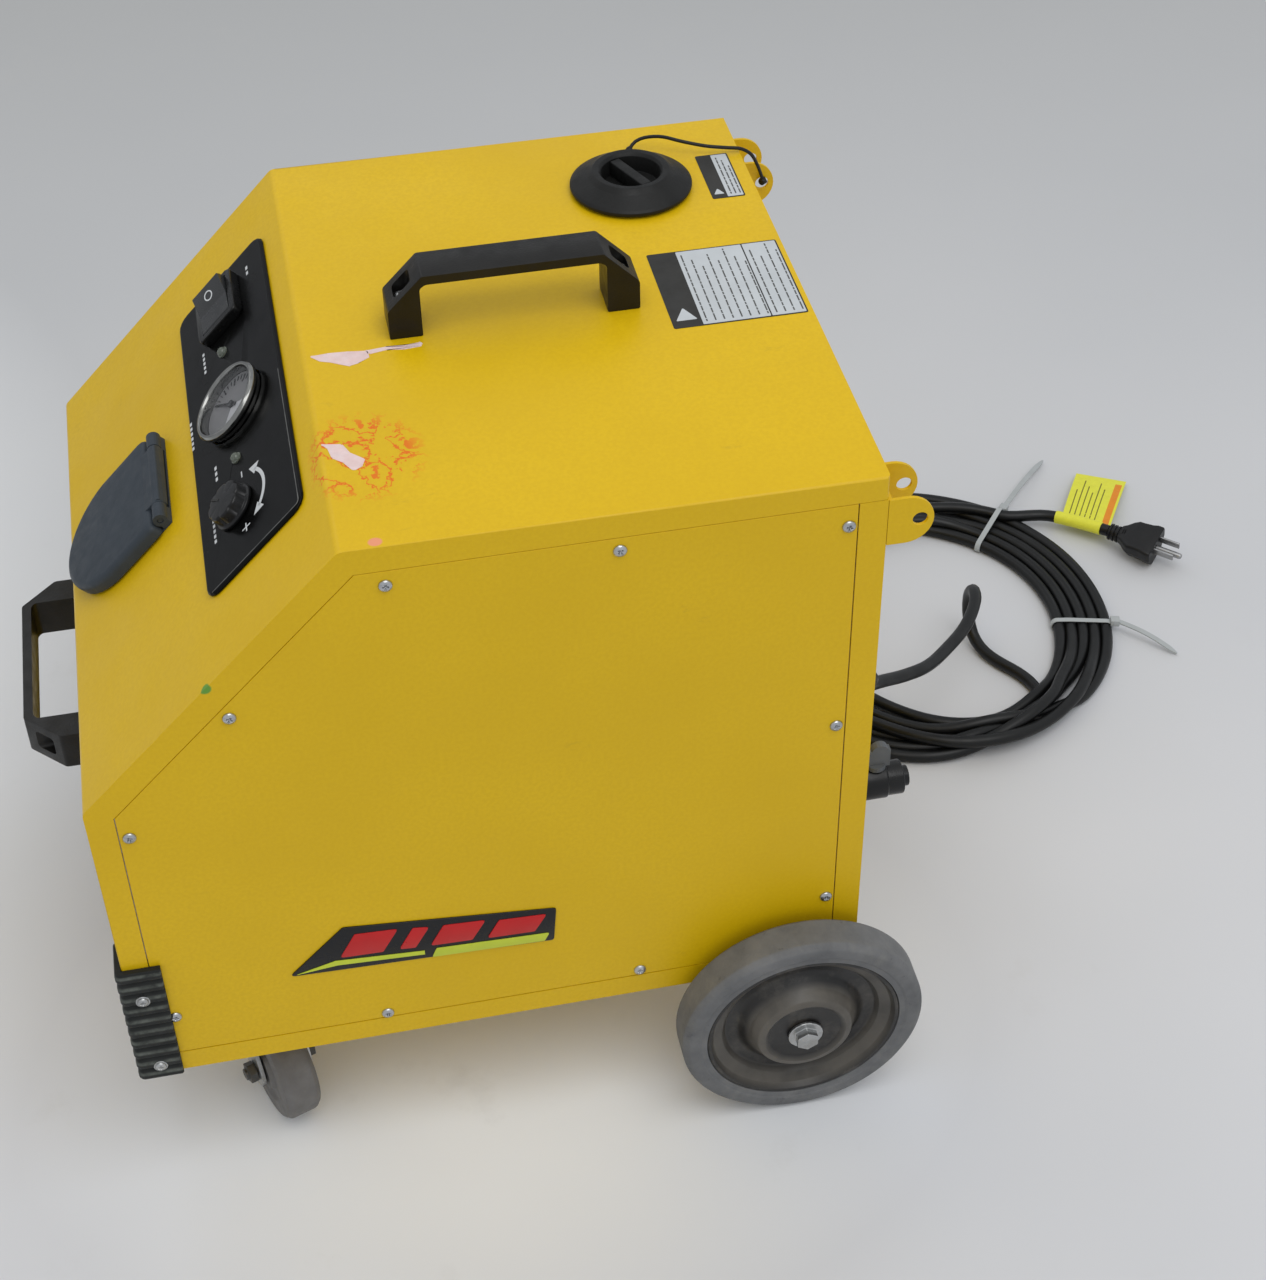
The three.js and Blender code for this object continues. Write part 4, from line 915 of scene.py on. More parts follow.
def cable_tie(name, angle, tail_to, wide=4.2, thick=1.1):
    """A nylon band drawn round the bundle at an angle of the coil, with a head and a long tail."""
    a = math.radians(angle)
    centre = np.array([COIL["x"], COIL["y"]])
    out = np.array([math.cos(a), COIL["depth"] * math.sin(a)])
    out /= np.linalg.norm(out)
    across = np.array([-out[1], out[0]])
    flat = CORD[:, :2] - centre
    side = flat @ across
    reach = flat @ out
    found = []
    for i in range(len(CORD) - 1):
        if side[i] * side[i + 1] <= 0 and reach[i] > 60:
            t = side[i] / (side[i] - side[i + 1] + 1e-9)
            height = CORD[i, 2] + t * (CORD[i + 1, 2] - CORD[i, 2])
            found.append((reach[i] + t * (reach[i + 1] - reach[i]), height))
    rim = [
        (r + (CORD_R + 0.35) * math.cos(b), h + (CORD_R + 0.35) * math.sin(b))
        for r, h in found
        for b in np.linspace(0, 2 * math.pi, 24, endpoint=False)
    ]
    loop = hull(rim)
    middle = np.mean(loop, axis=0)
    bm = bmesh.new()
    frame_of = Matrix((
        (out[0], across[0], 0, centre[0]),
        (out[1], across[1], 0, centre[1]),
        (0, 0, 1, -CLEARANCE),
        (0, 0, 0, 1),
    ))
    half = wide / 2
    rings = []
    for r, h in loop:
        d = np.array([r, h]) - middle
        d /= np.linalg.norm(d)
        h = max(h, 0.5)
        outer = (r + d[0] * thick, max(h + d[1] * thick, 0.4))
        section = [(r, -half, h), (r, half, h), (outer[0], half, outer[1]), (outer[0], -half, outer[1])]
        rings.append(ring_at(bm, section))
    for ring, following in zip(rings, rings[1:] + rings[:1]):
        join_rings(bm, ring, following)
    far = max(r for r, h in loop)
    prism_into(bm, rounded(far - 1.5, far + 5.5, -3.4, 3.4, 0.8, 2), 7, 12.5, 0.5, 2)
    band = finish_piece(name, bm, CH @ frame_of, TIE)
    head = frame_of @ Vector((far + 4, 0, 10))
    end = Vector((*tail_to, floor_z(2.0)))
    bm = bmesh.new()
    lateral = (end - head).normalized().cross(Vector((0, 0, 1))).normalized()
    rise = Vector((0, 0, 0.55))
    rings = []
    for t, taper in zip(np.linspace(0, 1, 15), [1] * 13 + [0.72, 0.3]):
        p = head.lerp(end, t)
        p.z += 3 * math.sin(math.pi * t)
        aside = lateral * (half * taper)
        rings.append(ring_at(bm, [p + aside + rise, p - aside + rise, p - aside - rise, p + aside - rise]))
    skin_into(bm, rings)
    return [band, finish_piece(name + "_tail", bm, CH, TIE)]


TAG_CORNERS = [Vector(c) for c in ((-293, 750, 12), (-357, 787, 3.4), (-338, 824, 2.6), (-269, 782, 13.5))]


def tag_wrap(name, first, last, radius):
    """The tag's turn round the cord, between two places of the cord's line."""
    line = [Vector((x, y, floor_z(h))) for x, y, h in CORD[first:last]]
    angles = np.linspace(0, 2 * math.pi, 20, endpoint=False)
    bm = bmesh.new()
    rings = []
    for i, at in enumerate(line):
        along = (line[min(i + 1, len(line) - 1)] - line[max(i - 1, 0)]).normalized()
        side = along.cross(Vector((0, 0, 1))).normalized()
        up = side.cross(along)
        rings.append(ring_at(bm, [at + radius * (math.cos(a) * side + math.sin(a) * up) for a in angles]))
    skin_into(bm, rings)
    return finish_piece(name, bm, CH, TAG_YELLOW)


def tag_patch(name, u0, u1, v0, v1, lift, material, thick):
    """A thin sheet over part of the tag; u runs away from the cord and v across."""
    near_low, far_low, far_high, near_high = TAG_CORNERS
    up = (near_high - near_low).cross(far_low - near_low).normalized()
    bm = bmesh.new()
    rings = []
    for i in range(15):
        u = u0 + (u1 - u0) * i / 14
        line = []
        for v in (v0, v1):
            bulge = 2.2 * math.sin(math.pi * u) * (1 - 0.5 * v)
            p = near_low.lerp(far_low, u).lerp(near_high.lerp(far_high, u), v) + up * (lift + bulge)
            line.append(Vector((p.x, p.y, floor_z(p.z))))
        p, q = line
        rings.append(ring_at(bm, [p, q, q + up * thick, p + up * thick]))
    skin_into(bm, rings)
    return finish_piece(name, bm, CH, material)


def cord_tag():
    """A tag folded round the cord's end, with plain bands in place of words."""
    pieces = [
        tag_wrap("cord_tag_wrap", -8, -1, CORD_R + 0.6),
        tag_patch("cord_tag", 0, 1, 0, 1, 0, TAG_YELLOW, 0.45),
        tag_patch("cord_tag_band", 0.08, 0.9, 0.82, 0.95, 0.46, TAG_ORANGE, 0.08),
    ]
    for i in range(6):
        v = 0.12 + i * 0.105
        stop = 0.62 + 0.24 * ((i * 5) % 3) / 2
        pieces.append(tag_patch(f"cord_tag_line_{i}", 0.1, stop, v, v + 0.022, 0.46, TAG_LINE, 0.06))
    return pieces


def cords():
    cord = power_cord()
    with_pieces = plug_pieces()
    with_pieces += cable_tie("tie_far", 136, (-382, 766))
    with_pieces += cable_tie("tie_near", 77, (-129, 787))
    with_pieces += cord_tag()


TETHER_ROUTE = [
    (-156.8, 369.6, 380.2), (-158.9, 372.5, 382.8), (-159.6, 376.5, 384.6), (-158.9, 380.6, 385.8),
    (-156.5, 387.5, 386.8), (-153.8, 392.7, 386.8), (-151.1, 397, 386.3), (-148.4, 403.1, 385.3),
    (-145.2, 415.7, 382.8), (-144, 428, 380.8), (-143.6, 436.8, 379.2), (-144.3, 442.9, 374.8),
    (-148.2, 448, 365.5), (-151.5, 451.5, 356.5), (-153.3, 453.8, 349.5),
]


def knot(name, centre, r, body):
    """A small twisted lump at an end of the tether."""
    bm = bmesh.new()
    bmesh.ops.create_icosphere(bm, subdivisions=3, radius=r)
    for v in bm.verts:
        twist = math.sin(v.co.z / r * 4 + math.atan2(v.co.y, v.co.x) * 2)
        v.co *= 1 + 0.12 * twist
    return finish_piece(name, bm, on(CH, *centre), TETHER, body, 35)


def tether():
    line = spline_points(TETHER_ROUTE, 3)
    metres = [tuple(CH @ Vector(q)) for q in line]
    piece = round_tube("cap_cord", metres, TETHER_R / 1000, TETHER)
    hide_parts("cap_tether")
    knots = [
        knot("cap_cord_knot", (-156.6, 369.4, 379.8), 2.3, "tether_ring"),
        knot("lug_cord_knot", (-153.6, 454, 348.4), 2.6, "chassis"),
    ]
    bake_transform(piece)


cords()
tether()


# ---- cabinet ----
def envelope(inset):
    """The cabinet's side outline, drawn in by an inset."""
    shift = inset / math.cos(SLOPE_ANGLE)
    rise = (HEIGHT - FRONT_HEIGHT) / SLOPE_RUN
    top = HEIGHT - inset
    return [
        (inset, inset),
        (LENGTH - inset, inset),
        (LENGTH - inset, top),
        ((top + shift - FRONT_HEIGHT) / rise, top),
        (inset, FRONT_HEIGHT + inset * rise - shift),
    ]


SIDE = CH @ AS_SIDE


def cover():
    """The bent sheet over front, slope and top, open to the sides, the rear and below."""
    outline = fillet(envelope(0), [0, 0, 0, 6, 6], 5)
    bm = bmesh.new()
    prism_into(bm, outline, -HALF_WIDTH, HALF_WIDTH, 1.9, 4)
    piece = finish_piece("cabinet_cover", bm, SIDE, YELLOW, "chassis", 35)
    hollow = envelope(SHEET)
    hollow[1] = (LENGTH + 10, hollow[1][1])
    hollow[2] = (LENGTH + 10, hollow[2][1])
    window = envelope(FLANGE)
    window[1] = (LENGTH + 10, 4)
    window[2] = (LENGTH + 10, window[2][1])
    window[0] = (window[0][0], 4)
    underside = rounded(-5, LENGTH + 20, -5, FLANGE + GAP, 0)
    tools = [
        tool_prism(fillet(hollow, [0, 0, 0, 5, 5], 5), -HALF_WIDTH + SHEET, HALF_WIDTH - SHEET, SIDE),
        tool_prism(window, -HALF_WIDTH - 5, HALF_WIDTH + 5, SIDE),
        tool_prism(underside, -HALF_WIDTH - 5, HALF_WIDTH + 5, SIDE),
        tool_prism(rod_outline(CAP["x"], CAP["y"], 24), HEIGHT - 8, HEIGHT + 8, CH),
        tool_prism(rod_outline(GAUGE["x"], GAUGE["s"], 24.5), -8, 8, SLOPE),
        tool_prism(rounded(-19.5, 19.5, -15, 15, 1), -8, 8, on(SLOPE, SWITCH["x"], SWITCH["s"])),
        tool_prism(rod_outline(KNOB["x"], KNOB["s"], 5.5), -8, 8, SLOPE),
    ]
    tools += [tool_prism(rod_outline(x, LAMP_S, 4.5), -8, 8, SLOPE) for x in LAMPS.values()]
    tools.append(tool_prism(rod_outline(FLAP["x"], FLAP["s"], 30), -8, 8, SLOPE))
    cut(piece, tools)
    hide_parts("wrap_cover")


def screw_into(bm, matrix, r=3.75, height=2.0):
    """A pan head with a cross recess, standing on local z 0."""
    head = [(0, 0), (r, 0), (r, height * 0.35), (r * 0.86, height * 0.75), (r * 0.55, height * 0.96)]
    verts = lathe_into(bm, head + [(r * 0.5, height)], 28)
    rim = verts[-28:]
    # cross recess: the flat top dips along two bars
    centre = bm.verts.new((0, 0, height * 0.35))
    inner = []
    for i, v in enumerate(rim):
        angle = 2 * math.pi * i / 28
        bar = max(abs(math.cos(angle)), abs(math.sin(angle)))
        deep = bar > 0.93
        inner.append(bm.verts.new((v.co.x * 0.72, v.co.y * 0.72, height * (0.38 if deep else 0.98))))
    for i in range(28):
        j = (i + 1) % 28
        bm.faces.new((rim[i], rim[j], inner[j], inner[i]))
        bm.faces.new((inner[i], inner[j], centre))
    bmesh.ops.transform(bm, matrix=matrix, verts=verts + inner + [centre])


SIDE_SCREWS = [
    (173, 352), (293.8, 353.1), (415.2, 347.4), (414.9, 203.3), (415, 59.8),
    (300.1, 20.9), (146.2, 20.2), (24.1, 48.5), (21.5, 201), (84.9, 277.4),
]


def facing(side, y, z, x=HALF_WIDTH):
    """A local frame whose Z points out of the left (1) or right (-1) side."""
    return Matrix.Translation((side * x, y, z)) @ turn(90 * side, "Y")


def side_screws():
    for name, side in SIDES:
        bm = bmesh.new()
        for i, (y, z) in enumerate(SIDE_SCREWS):
            screw_into(bm, facing(side, y, z) @ turn(i * 37, "Z"))
        finish_piece("side_screws_" + name, bm, CH, SCREW)


def emblem():
    """A plain badge: a black swept plate with four red blocks and a green-yellow stripe, no lettering."""
    plate = fillet([(93, 67.6), (126.7, 102.1), (250.9, 89.4), (248.6, 61.8)], [1.2, 2, 2, 2], 3)
    prism("side_emblem", plate, HALF_WIDTH + 0.01, HALF_WIDTH + 0.9, SIDE, EMBLEM_BLACK, edge=0.3)
    shapes = []
    lean = 0.55
    for y0, y1, z0, z1 in (
        (128, 158, 77.5, 95.5), (162, 176, 76.5, 92.8), (180, 209, 75.2, 90.8), (213, 245, 73.6, 87.4)
    ):
        w = (z1 - z0) * lean
        shapes.append([(y0 - w / 2, z0), (y1 - w, z0 - 0.8), (y1, z1 - 1.4), (y0 + w / 2, z1)])
    bm = bmesh.new()
    for shape in shapes:
        prism_into(bm, fillet(shape, 1.2, 2), HALF_WIDTH + 0.8, HALF_WIDTH + 1.5, 0.2)
    finish_piece("side_emblem_bars", bm, SIDE, EMBLEM_RED)
    bm = bmesh.new()
    stripe = [(97, 68.6), (121, 71.5), (172, 68.3), (172, 71.4), (120, 75.2)]
    prism_into(bm, stripe, HALF_WIDTH + 0.8, HALF_WIDTH + 1.4, 0.15)
    longer = fillet([(176, 64.9), (243, 62.9), (246, 69.2), (179, 71.9)], 0.8, 2)
    prism_into(bm, longer, HALF_WIDTH + 0.8, HALF_WIDTH + 1.4, 0.15)
    finish_piece("side_emblem_stripe", bm, SIDE, EMBLEM_GREEN)


# one rib of the bumper: the part of its height, and how far it lies inside the crest
RIB = [(0, 2.6), (0.08, 2.6), (0.2, 0.6), (0.32, 0), (0.62, 0), (0.72, 0.3), (0.8, 0.9), (0.94, 2.5)]


def bumper(name, side):
    """Ribbed rubber that wraps the cabinet's front lower corner."""
    low, high, wrap, out = BUMPER["low"], BUMPER["high"], BUMPER["wrap"], BUMPER["out"]
    pitch = (high - low) / BUMPER["ribs"]
    x0 = HALF_WIDTH + GAP

    def plan(depth):
        face = x0 + depth
        line = [(x0 + 0.05, wrap), (face - 0.8, wrap), (face, wrap - 0.8)]
        line += arc(x0, -GAP, depth, 0, -90, 7)
        line += [(x0 - wrap + 0.8, -GAP - depth), (x0 - wrap, -GAP - depth + 0.8), (x0 - wrap, -GAP - 0.05)]
        line += [(x0, -GAP)]
        return line

    heights = [(low + (i + t) * pitch, out - inward) for i in range(BUMPER["ribs"]) for t, inward in RIB]
    heights += [(high - 1.2, out - 0.4), (high, out - 0.9)]
    bm = bmesh.new()
    skin_into(bm, [ring_at(bm, [(x, y, z) for x, y in plan(depth)]) for z, depth in heights])
    flip = CH @ Matrix.Diagonal((side, 1, 1, 1))
    piece = finish_piece("corner_bumper_" + name, bm, flip, BUMPER_BLACK, "chassis", 45)
    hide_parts("bumper_" + name)
    bm = bmesh.new()
    for y, z in ((8.5, 70.7), (9.8, 11.1)):
        base = Matrix.Translation((HALF_WIDTH + GAP + out - 1.2, y, z)) @ turn(90, "Y")
        lathe_into(bm, [(0, 0), (4.3, 0), (4.3, 1.0), (4.0, 1.3), (0, 1.3)], 28, base)
        screw_into(bm, base @ Matrix.Translation((0, 0, 1.1)), 3.3, 1.7)
    finish_piece("bumper_screws_" + name, bm, flip, ZINC)


def bridge_handle(name, base, node):
    """A moulded bridge handle: length along local Y, height along Z."""
    half, height, width, leg = 70.8, 40.4, 25, 18.5
    outline = [
        (-half, 0.3), (-half + leg, 0.3), (-half + leg, 32.5), (-half + leg + 3.5, 35),
        (half - leg - 3.5, 35), (half - leg, 32.5), (half - leg, 0.3), (half, 0.3),
        (half, 18), (half - 20, height), (-half + 20, height), (-half, 18),
    ]
    radii = [0.6, 0.6, 4, 4, 4, 4, 0.6, 0.6, 4, 3, 3, 4]
    outline = fillet(outline, radii, 6)
    bm = bmesh.new()
    prism_into(bm, outline, -width / 2, width / 2, 1.5, 3, AS_SIDE)
    for v in bm.verts:
        if v.co.z > 20:
            v.co.z -= 2.0 * (abs(v.co.x) / (width / 2)) ** 3 * min(1, (v.co.z - 20) / 15)
    piece = finish_piece(name, bm, base, HANDLE_BLACK, "chassis")
    wells = []
    for s in (-1, 1):
        ends = sorted((s * (half - 4.6), s * (half - 14.6)))
        wells.append(tool_prism(rounded(-6.5, 6.5, ends[0], ends[1], 2.6), 19, height + 5, base))
    cut(piece, wells, 40)
    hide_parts(node)
    bm = bmesh.new()
    for s in (-1, 1):
        screw_into(bm, Matrix.Translation((0, s * (half - 9.6), 19.0)), 4.2, 3)
    finish_piece(name + "_screws", bm, base, ZINC)


def label(name, x0, x1, y0, y1, band, divider, lines):
    """A printed sticker on the top: dark frame and band, pale panel, and plain lines for its text."""
    z = HEIGHT
    prism(name, rounded(x0, x1, y0, y1, 1.4), z + 0.02, z + 0.22, CH, LABEL_DARK)
    bm = bmesh.new()
    edge = 0.9
    panels = [(y0 + band, y1 - edge)]
    if divider:
        panels = [(y0 + band, divider - 0.4), (divider + 0.4, y1 - edge)]
    for a, b in panels:
        prism_into(bm, rounded(x0 + edge, x1 - edge, a, b, 0.6, 2), z + 0.2, z + 0.3)
    # a pale triangle on the dark band
    w = min(band - 3, (x1 - x0) * 0.16)
    cx = x1 - w * 0.9 - 2
    cy = y0 + band / 2 + 0.3
    triangle = [(cx - w / 2, cy), (cx + w / 2, cy + w / 2), (cx + w / 2, cy - w / 2)]
    prism_into(bm, fillet(triangle, 0.6, 2), z + 0.2, z + 0.3)
    finish_piece(name + "_panel", bm, CH, LABEL_GREY)
    bm = bmesh.new()
    for i in range(lines):
        y = y0 + band + 2.6 + i * (y1 - y0 - band - 5) / max(1, lines - 1)
        if divider and abs(y - divider) < 1.3:
            continue
        x = x1 - 3.4
        stop = x0 + 3 + (i * 7) % 5 * 0.05 * (x1 - x0)
        k = i
        while x - stop > 1.5:
            run = min(2.2 + (k * 5) % 7 * 0.9, x - stop)
            prism_into(bm, rounded(x - run, x, y - 0.42, y + 0.42, 0), z + 0.28, z + 0.36)
            x -= run + 0.9
            k += 1
    finish_piece(name + "_lines", bm, CH, LABEL_TEXT)


def torn_paper():
    shapes = {
        "paper_strip": [
            (16.2, 153.6), (15.6, 164), (16.4, 176), (17.6, 186), (24, 187),
            (28.5, 180), (30.6, 175), (26.4, 169), (24.6, 165), (22.4, 160),
        ],
        "paper_sliver": [
            (17.4, 185), (16.2, 197), (16.8, 207), (15.8, 217),
            (20.2, 216.5), (20.8, 206), (19.6, 197), (21.2, 186.6),
        ],
        "paper_patch": [
            (97, 151.5), (99.6, 163), (108, 166.5), (114.5, 173.5), (120.5, 172),
            (123.6, 166.5), (116, 162.5), (110, 157), (102, 155.5),
        ],
    }
    for name, shape in shapes.items():
        ragged = []
        for i, (x, y) in enumerate(fillet(shape, 1.6, 3)):
            ragged.append((x + 0.35 * math.sin(i * 2.3), y + 0.35 * math.cos(i * 1.7)))
        prism(name, ragged, HEIGHT + 0.02, HEIGHT + 0.22, CH, PAPER, edge=0.05, steps=1)


# ---- control slope ----
def stroke_into(bm, points, wide, low, high):
    """A flat line of even width along points."""
    p = [Vector(q) for q in points]
    left, right = [], []
    for i, q in enumerate(p):
        d = (p[min(i + 1, len(p) - 1)] - p[max(i - 1, 0)]).normalized()
        n = Vector((-d.y, d.x)) * wide / 2
        left.append(tuple(q + n))
        right.append(tuple(q - n))
    prism_into(bm, right + left[::-1], low, high)


def panel_marks():
    bm = bmesh.new()
    low, high = PANEL_TOP + 0.01, PANEL_TOP + 0.09
    cx, cy = KNOB["x"], KNOB["s"]
    stroke_into(bm, arc(cx, cy, 24, 131, 47, 18), 2.3, low, high)
    for angle, spin in ((145, 1), (33, -1)):
        tip = Vector(arc(cx, cy, 24, angle, angle, 1)[0])
        radial = (tip - Vector((cx, cy))).normalized()
        back = Vector((radial.y, -radial.x)) * 7.4 * spin
        head = [tip, tip + back + radial * 4.2, tip + back - radial * 4.2]
        prism_into(bm, [tuple(q) for q in (head if spin < 0 else head[::-1])], low, high)
    stroke_into(bm, [(59.6, 158.2), (64.8, 158.2)], 0.9, low, high)
    plus = [(3.3, 0.45), (0.45, 0.45), (0.45, 3.3), (-0.45, 3.3), (-0.45, 0.45), (-3.3, 0.45)]
    plus += [(-u, -v) for u, v in plus]
    prism_into(bm, [(106.5 + u, 156.5 + v) for u, v in plus], low, high)
    # short plain dashes where captions go
    for x0, x1, s, parts in (
        (-114, -103, 185, 2), (-77, -55, 139, 5), (-27, 1, 121.5, 6),
        (33, 48, 138, 3), (74, 96, 131.5, 5), (-118, -110, 138.5, 2),
    ):
        step = (x1 - x0) / parts
        for i in range(parts):
            a = x0 + i * step
            stroke_into(bm, [(a, s), (a + step * 0.62, s)], 1.8, low, high)
    finish_piece("panel_marks", bm, SLOPE, WHITE_INK)
    # a painted highlight line where the panel's flat top meets its rounded rim
    bm = bmesh.new()
    x1, s1, inset = 131, 200.2, 2.4
    stroke_into(bm, [(8, s1 - inset), (x1 - 9, s1 - inset)], 0.45, low, high)
    corner = [(x1 - 9, s1 - inset), (x1 - inset, s1 - inset), (x1 - inset, s1 - 9)]
    stroke_into(bm, fillet(corner, 5, 5, False), 0.7, low, high)
    stroke_into(bm, [(x1 - inset, s1 - 9), (x1 - inset, 124)], 0.45, low, high)
    finish_piece("panel_rim_highlight", bm, SLOPE, RIM_HIGHLIGHT)


def switch():
    """The rocker in its raised surround, with an O on the half that stands up."""
    base = on(SLOPE, SWITCH["x"], SWITCH["s"])
    bm = bmesh.new()
    prism_into(bm, rounded(-21.5, 21.5, -16.5, 16.5, 3.5), PANEL_TOP + GAP, SWITCH["top"], 1.1, 3)
    housing = finish_piece("switch_surround", bm, base, SWITCH_BLACK, "chassis")
    cut(housing, [tool_prism(rounded(-17.8, 17.8, -12.5, 12.5, 0.8), -2, 20, base)], 40)
    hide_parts("switch_housing")
    tilted = on(base, 0, 0, 5.6) @ turn(10, "Y")
    rise, reach = 2.6, 16.4
    section = fillet(
        [(-reach - 0.7, 4.6), (-reach, 7.2), (0, 7.2 - rise), (reach, 7.2), (reach + 0.7, 4.6),
         (16, -2.5), (9, -8.5), (-9, -8.5), (-16, -2.5)],
        [0.6, 0.9, 4, 0.9, 0.6, 1, 1, 1, 1], 3,
    )
    bm = bmesh.new()
    prism_into(bm, section, -12, 12, 0.5, 2, SWAP_YZ)
    paddle = finish_piece("rocker_paddle", bm, tilted, ROCKER_BLACK, "rocker")
    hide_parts("switch_rocker")
    facet = turn(math.degrees(math.atan2(rise, reach)), "Y")
    bm = bmesh.new()
    lathe_into(bm, [(2.6, 0), (3.4, 0), (3.4, 0.12), (2.6, 0.12)], 32, None, True)
    finish_piece("rocker_mark_off", bm, on(tilted, -8.4, 0, 7.22 - rise / 2) @ facet, WHITE_INK, "rocker")


def gauge():
    base = on(SLOPE, GAUGE["x"], GAUGE["s"])
    r, top = GAUGE["r"], GAUGE["top"]
    seat = PANEL_TOP + 0.3
    profile = fillet(
        [(0, -32), (23.4, -32), (23.4, seat), (r - 1.9, seat), (r - 1.9, 5.2), (r, 6.8), (r, top - 1.6),
         (r - 1.2, top), (r - 2.7, top), (r - 3.2, top - 1.6), (r - 3.2, 3.2), (0, 3.2)],
        [0, 0.5, 0, 0.3, 1.0, 1.0, 1.2, 1.0, 0.8, 0.4, 0, 0], 4, False,
    )
    case = lathe("gauge_bezel", profile, base, CHROME, "chassis", 96)
    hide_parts("gauge_case")
    glass = lathe(
        "gauge_lens",
        [(0, 8.2), (22.1, 8.2), (22.1, 9.0), (20, 9.9), (16, 11.0), (11, 11.7), (5, 12.0), (0, 12.1)],
        base, GLASS, "chassis", 72,
    )
    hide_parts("gauge_glass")
    bm = bmesh.new()
    for i in range(28):
        a = 225 - i * 10
        inner = 16.6 if i % 3 else 14.8
        p, q = arc(0, 0, inner, a, a, 1)[0], arc(0, 0, 19.8, a, a, 1)[0]
        stroke_into(bm, [p, q], 0.5 if i % 3 else 0.9, 4.4, 4.66)
    finish_piece("gauge_ticks", bm, base, SWITCH_BLACK, "chassis")
    bm = bmesh.new()
    wedge = [(0, 0)] + arc(0, 0, 18.6, -34, 62, 12)
    prism_into(bm, wedge, 4.32, 4.6)
    finish_piece("gauge_wedge", bm, base, DIAL_LIGHT, "chassis")


def knob_scoop(r, h, angle):
    """How deep the knob's eight finger scoops are at a place of its skirt."""
    scoop = max(0.0, math.cos(8 * (angle - math.radians(22.5)))) ** 2
    return 1.15 * scoop * smooth_step((h - 5.4) / 1.2) * smooth_step((r - 8) / 3)


def knob():
    base = on(SLOPE, KNOB["x"], KNOB["s"])
    bm = bmesh.new()
    corners = [(0, 3.2), (14, 3.2), (14, 5.0), (12.9, 5.8), (12.2, 12.2), (0, 12.6)]
    lathe_into(bm, fillet(corners, [0, 0.4, 0.8, 0.8, 1.4, 0], 4, False), 96, dent=knob_scoop)
    lathe_into(bm, [(0, -14), (3, -14), (3, 3.4), (0, 3.4)], 20)
    piece = finish_piece("knob_grip", bm, base, KNOB_BLACK, "knob")
    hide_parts("output_knob")
    bm = bmesh.new()
    tilt = base @ turn(135, "Z")
    prism_into(bm, rounded(-0.7, 0.7, 3.2, 11.0, 0.4, 2), 12.2, 12.75)
    finish_piece("knob_pointer", bm, tilt, LABEL_DARK, "knob")


def lamps():
    profile = [(0, -12), (3, -12), (3, 2.9), (3.6, 2.9), (3.6, 3.5), (3.3, 3.8)]
    profile += [(2.9, 3.9), (2.7, 4.9), (2.0, 5.7), (1.0, 6.1), (0, 6.2)]
    for name, x in LAMPS.items():
        piece = lathe(name + "_lens", profile, on(SLOPE, x, LAMP_S), LAMP, "chassis", 40)
        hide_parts(name)


def flap():
    """The socket's D-shaped cover: a shallow shell with a knuckle along its hinge."""
    base = on(SLOPE, FLAP["x"], FLAP["s"])
    pin = FLAP["hinge"] - FLAP["s"]
    r, top = FLAP["r"], FLAP["top"]

    def outline(inset, high):
        rr = r - inset
        return fillet([(rr, high), (-rr, high)] + arc(0, 0, rr, 180, 360, 30)[1:-1], [3.5, 3.5] + [0] * 29, 4)

    bm = bmesh.new()
    # shell with a rounded outer rim
    levels = [(0.0, 1.7), (0.0, top - 4.2), (0.35, top - 2.6), (1.1, top - 1.3), (2.3, top - 0.4), (4.0, top)]
    shell = [(inset, pin - 4.8 - inset, z) for inset, z in levels]
    shell += [(3.2, pin - 8, top - 3.0), (3.2, pin - 8, 1.7)]
    rings = [ring_at(bm, [(x, y, z) for x, y in outline(inset, high)]) for inset, high, z in shell]
    *walls, roof, lip = rings
    for a, b in zip(walls, walls[1:]):
        join_rings(bm, a, b)
    join_rings(bm, roof, lip)
    join_rings(bm, lip, walls[0])
    bm.faces.new(walls[-1])
    bm.faces.new(roof[::-1])
    piece = finish_piece("flap_shell", bm, base, SLATE, "flap")
    bm = bmesh.new()
    along = Matrix.Translation((0, pin, FLAP["pin"])) @ AS_SIDE
    barrel = fillet([(1.9, -26.8), (4.2, -26.8), (4.2, 26.8), (1.9, 26.8)], 0.5, 2)
    lathe_into(bm, barrel, 28, along, True)
    block = [(pin - 8.5, 3.0), (pin + 4.1, 2.6), (pin + 4.1, top - 0.2), (pin - 8.5, top - 0.2)]
    block = fillet(block, [0.5, 1.6, 1.6, 0.5], 4)
    prism_into(bm, block, -25.8, 25.8, 0.5, 2, AS_SIDE)
    finish_piece("flap_knuckle", bm, base, SLATE, "flap")
    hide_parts("socket_flap")


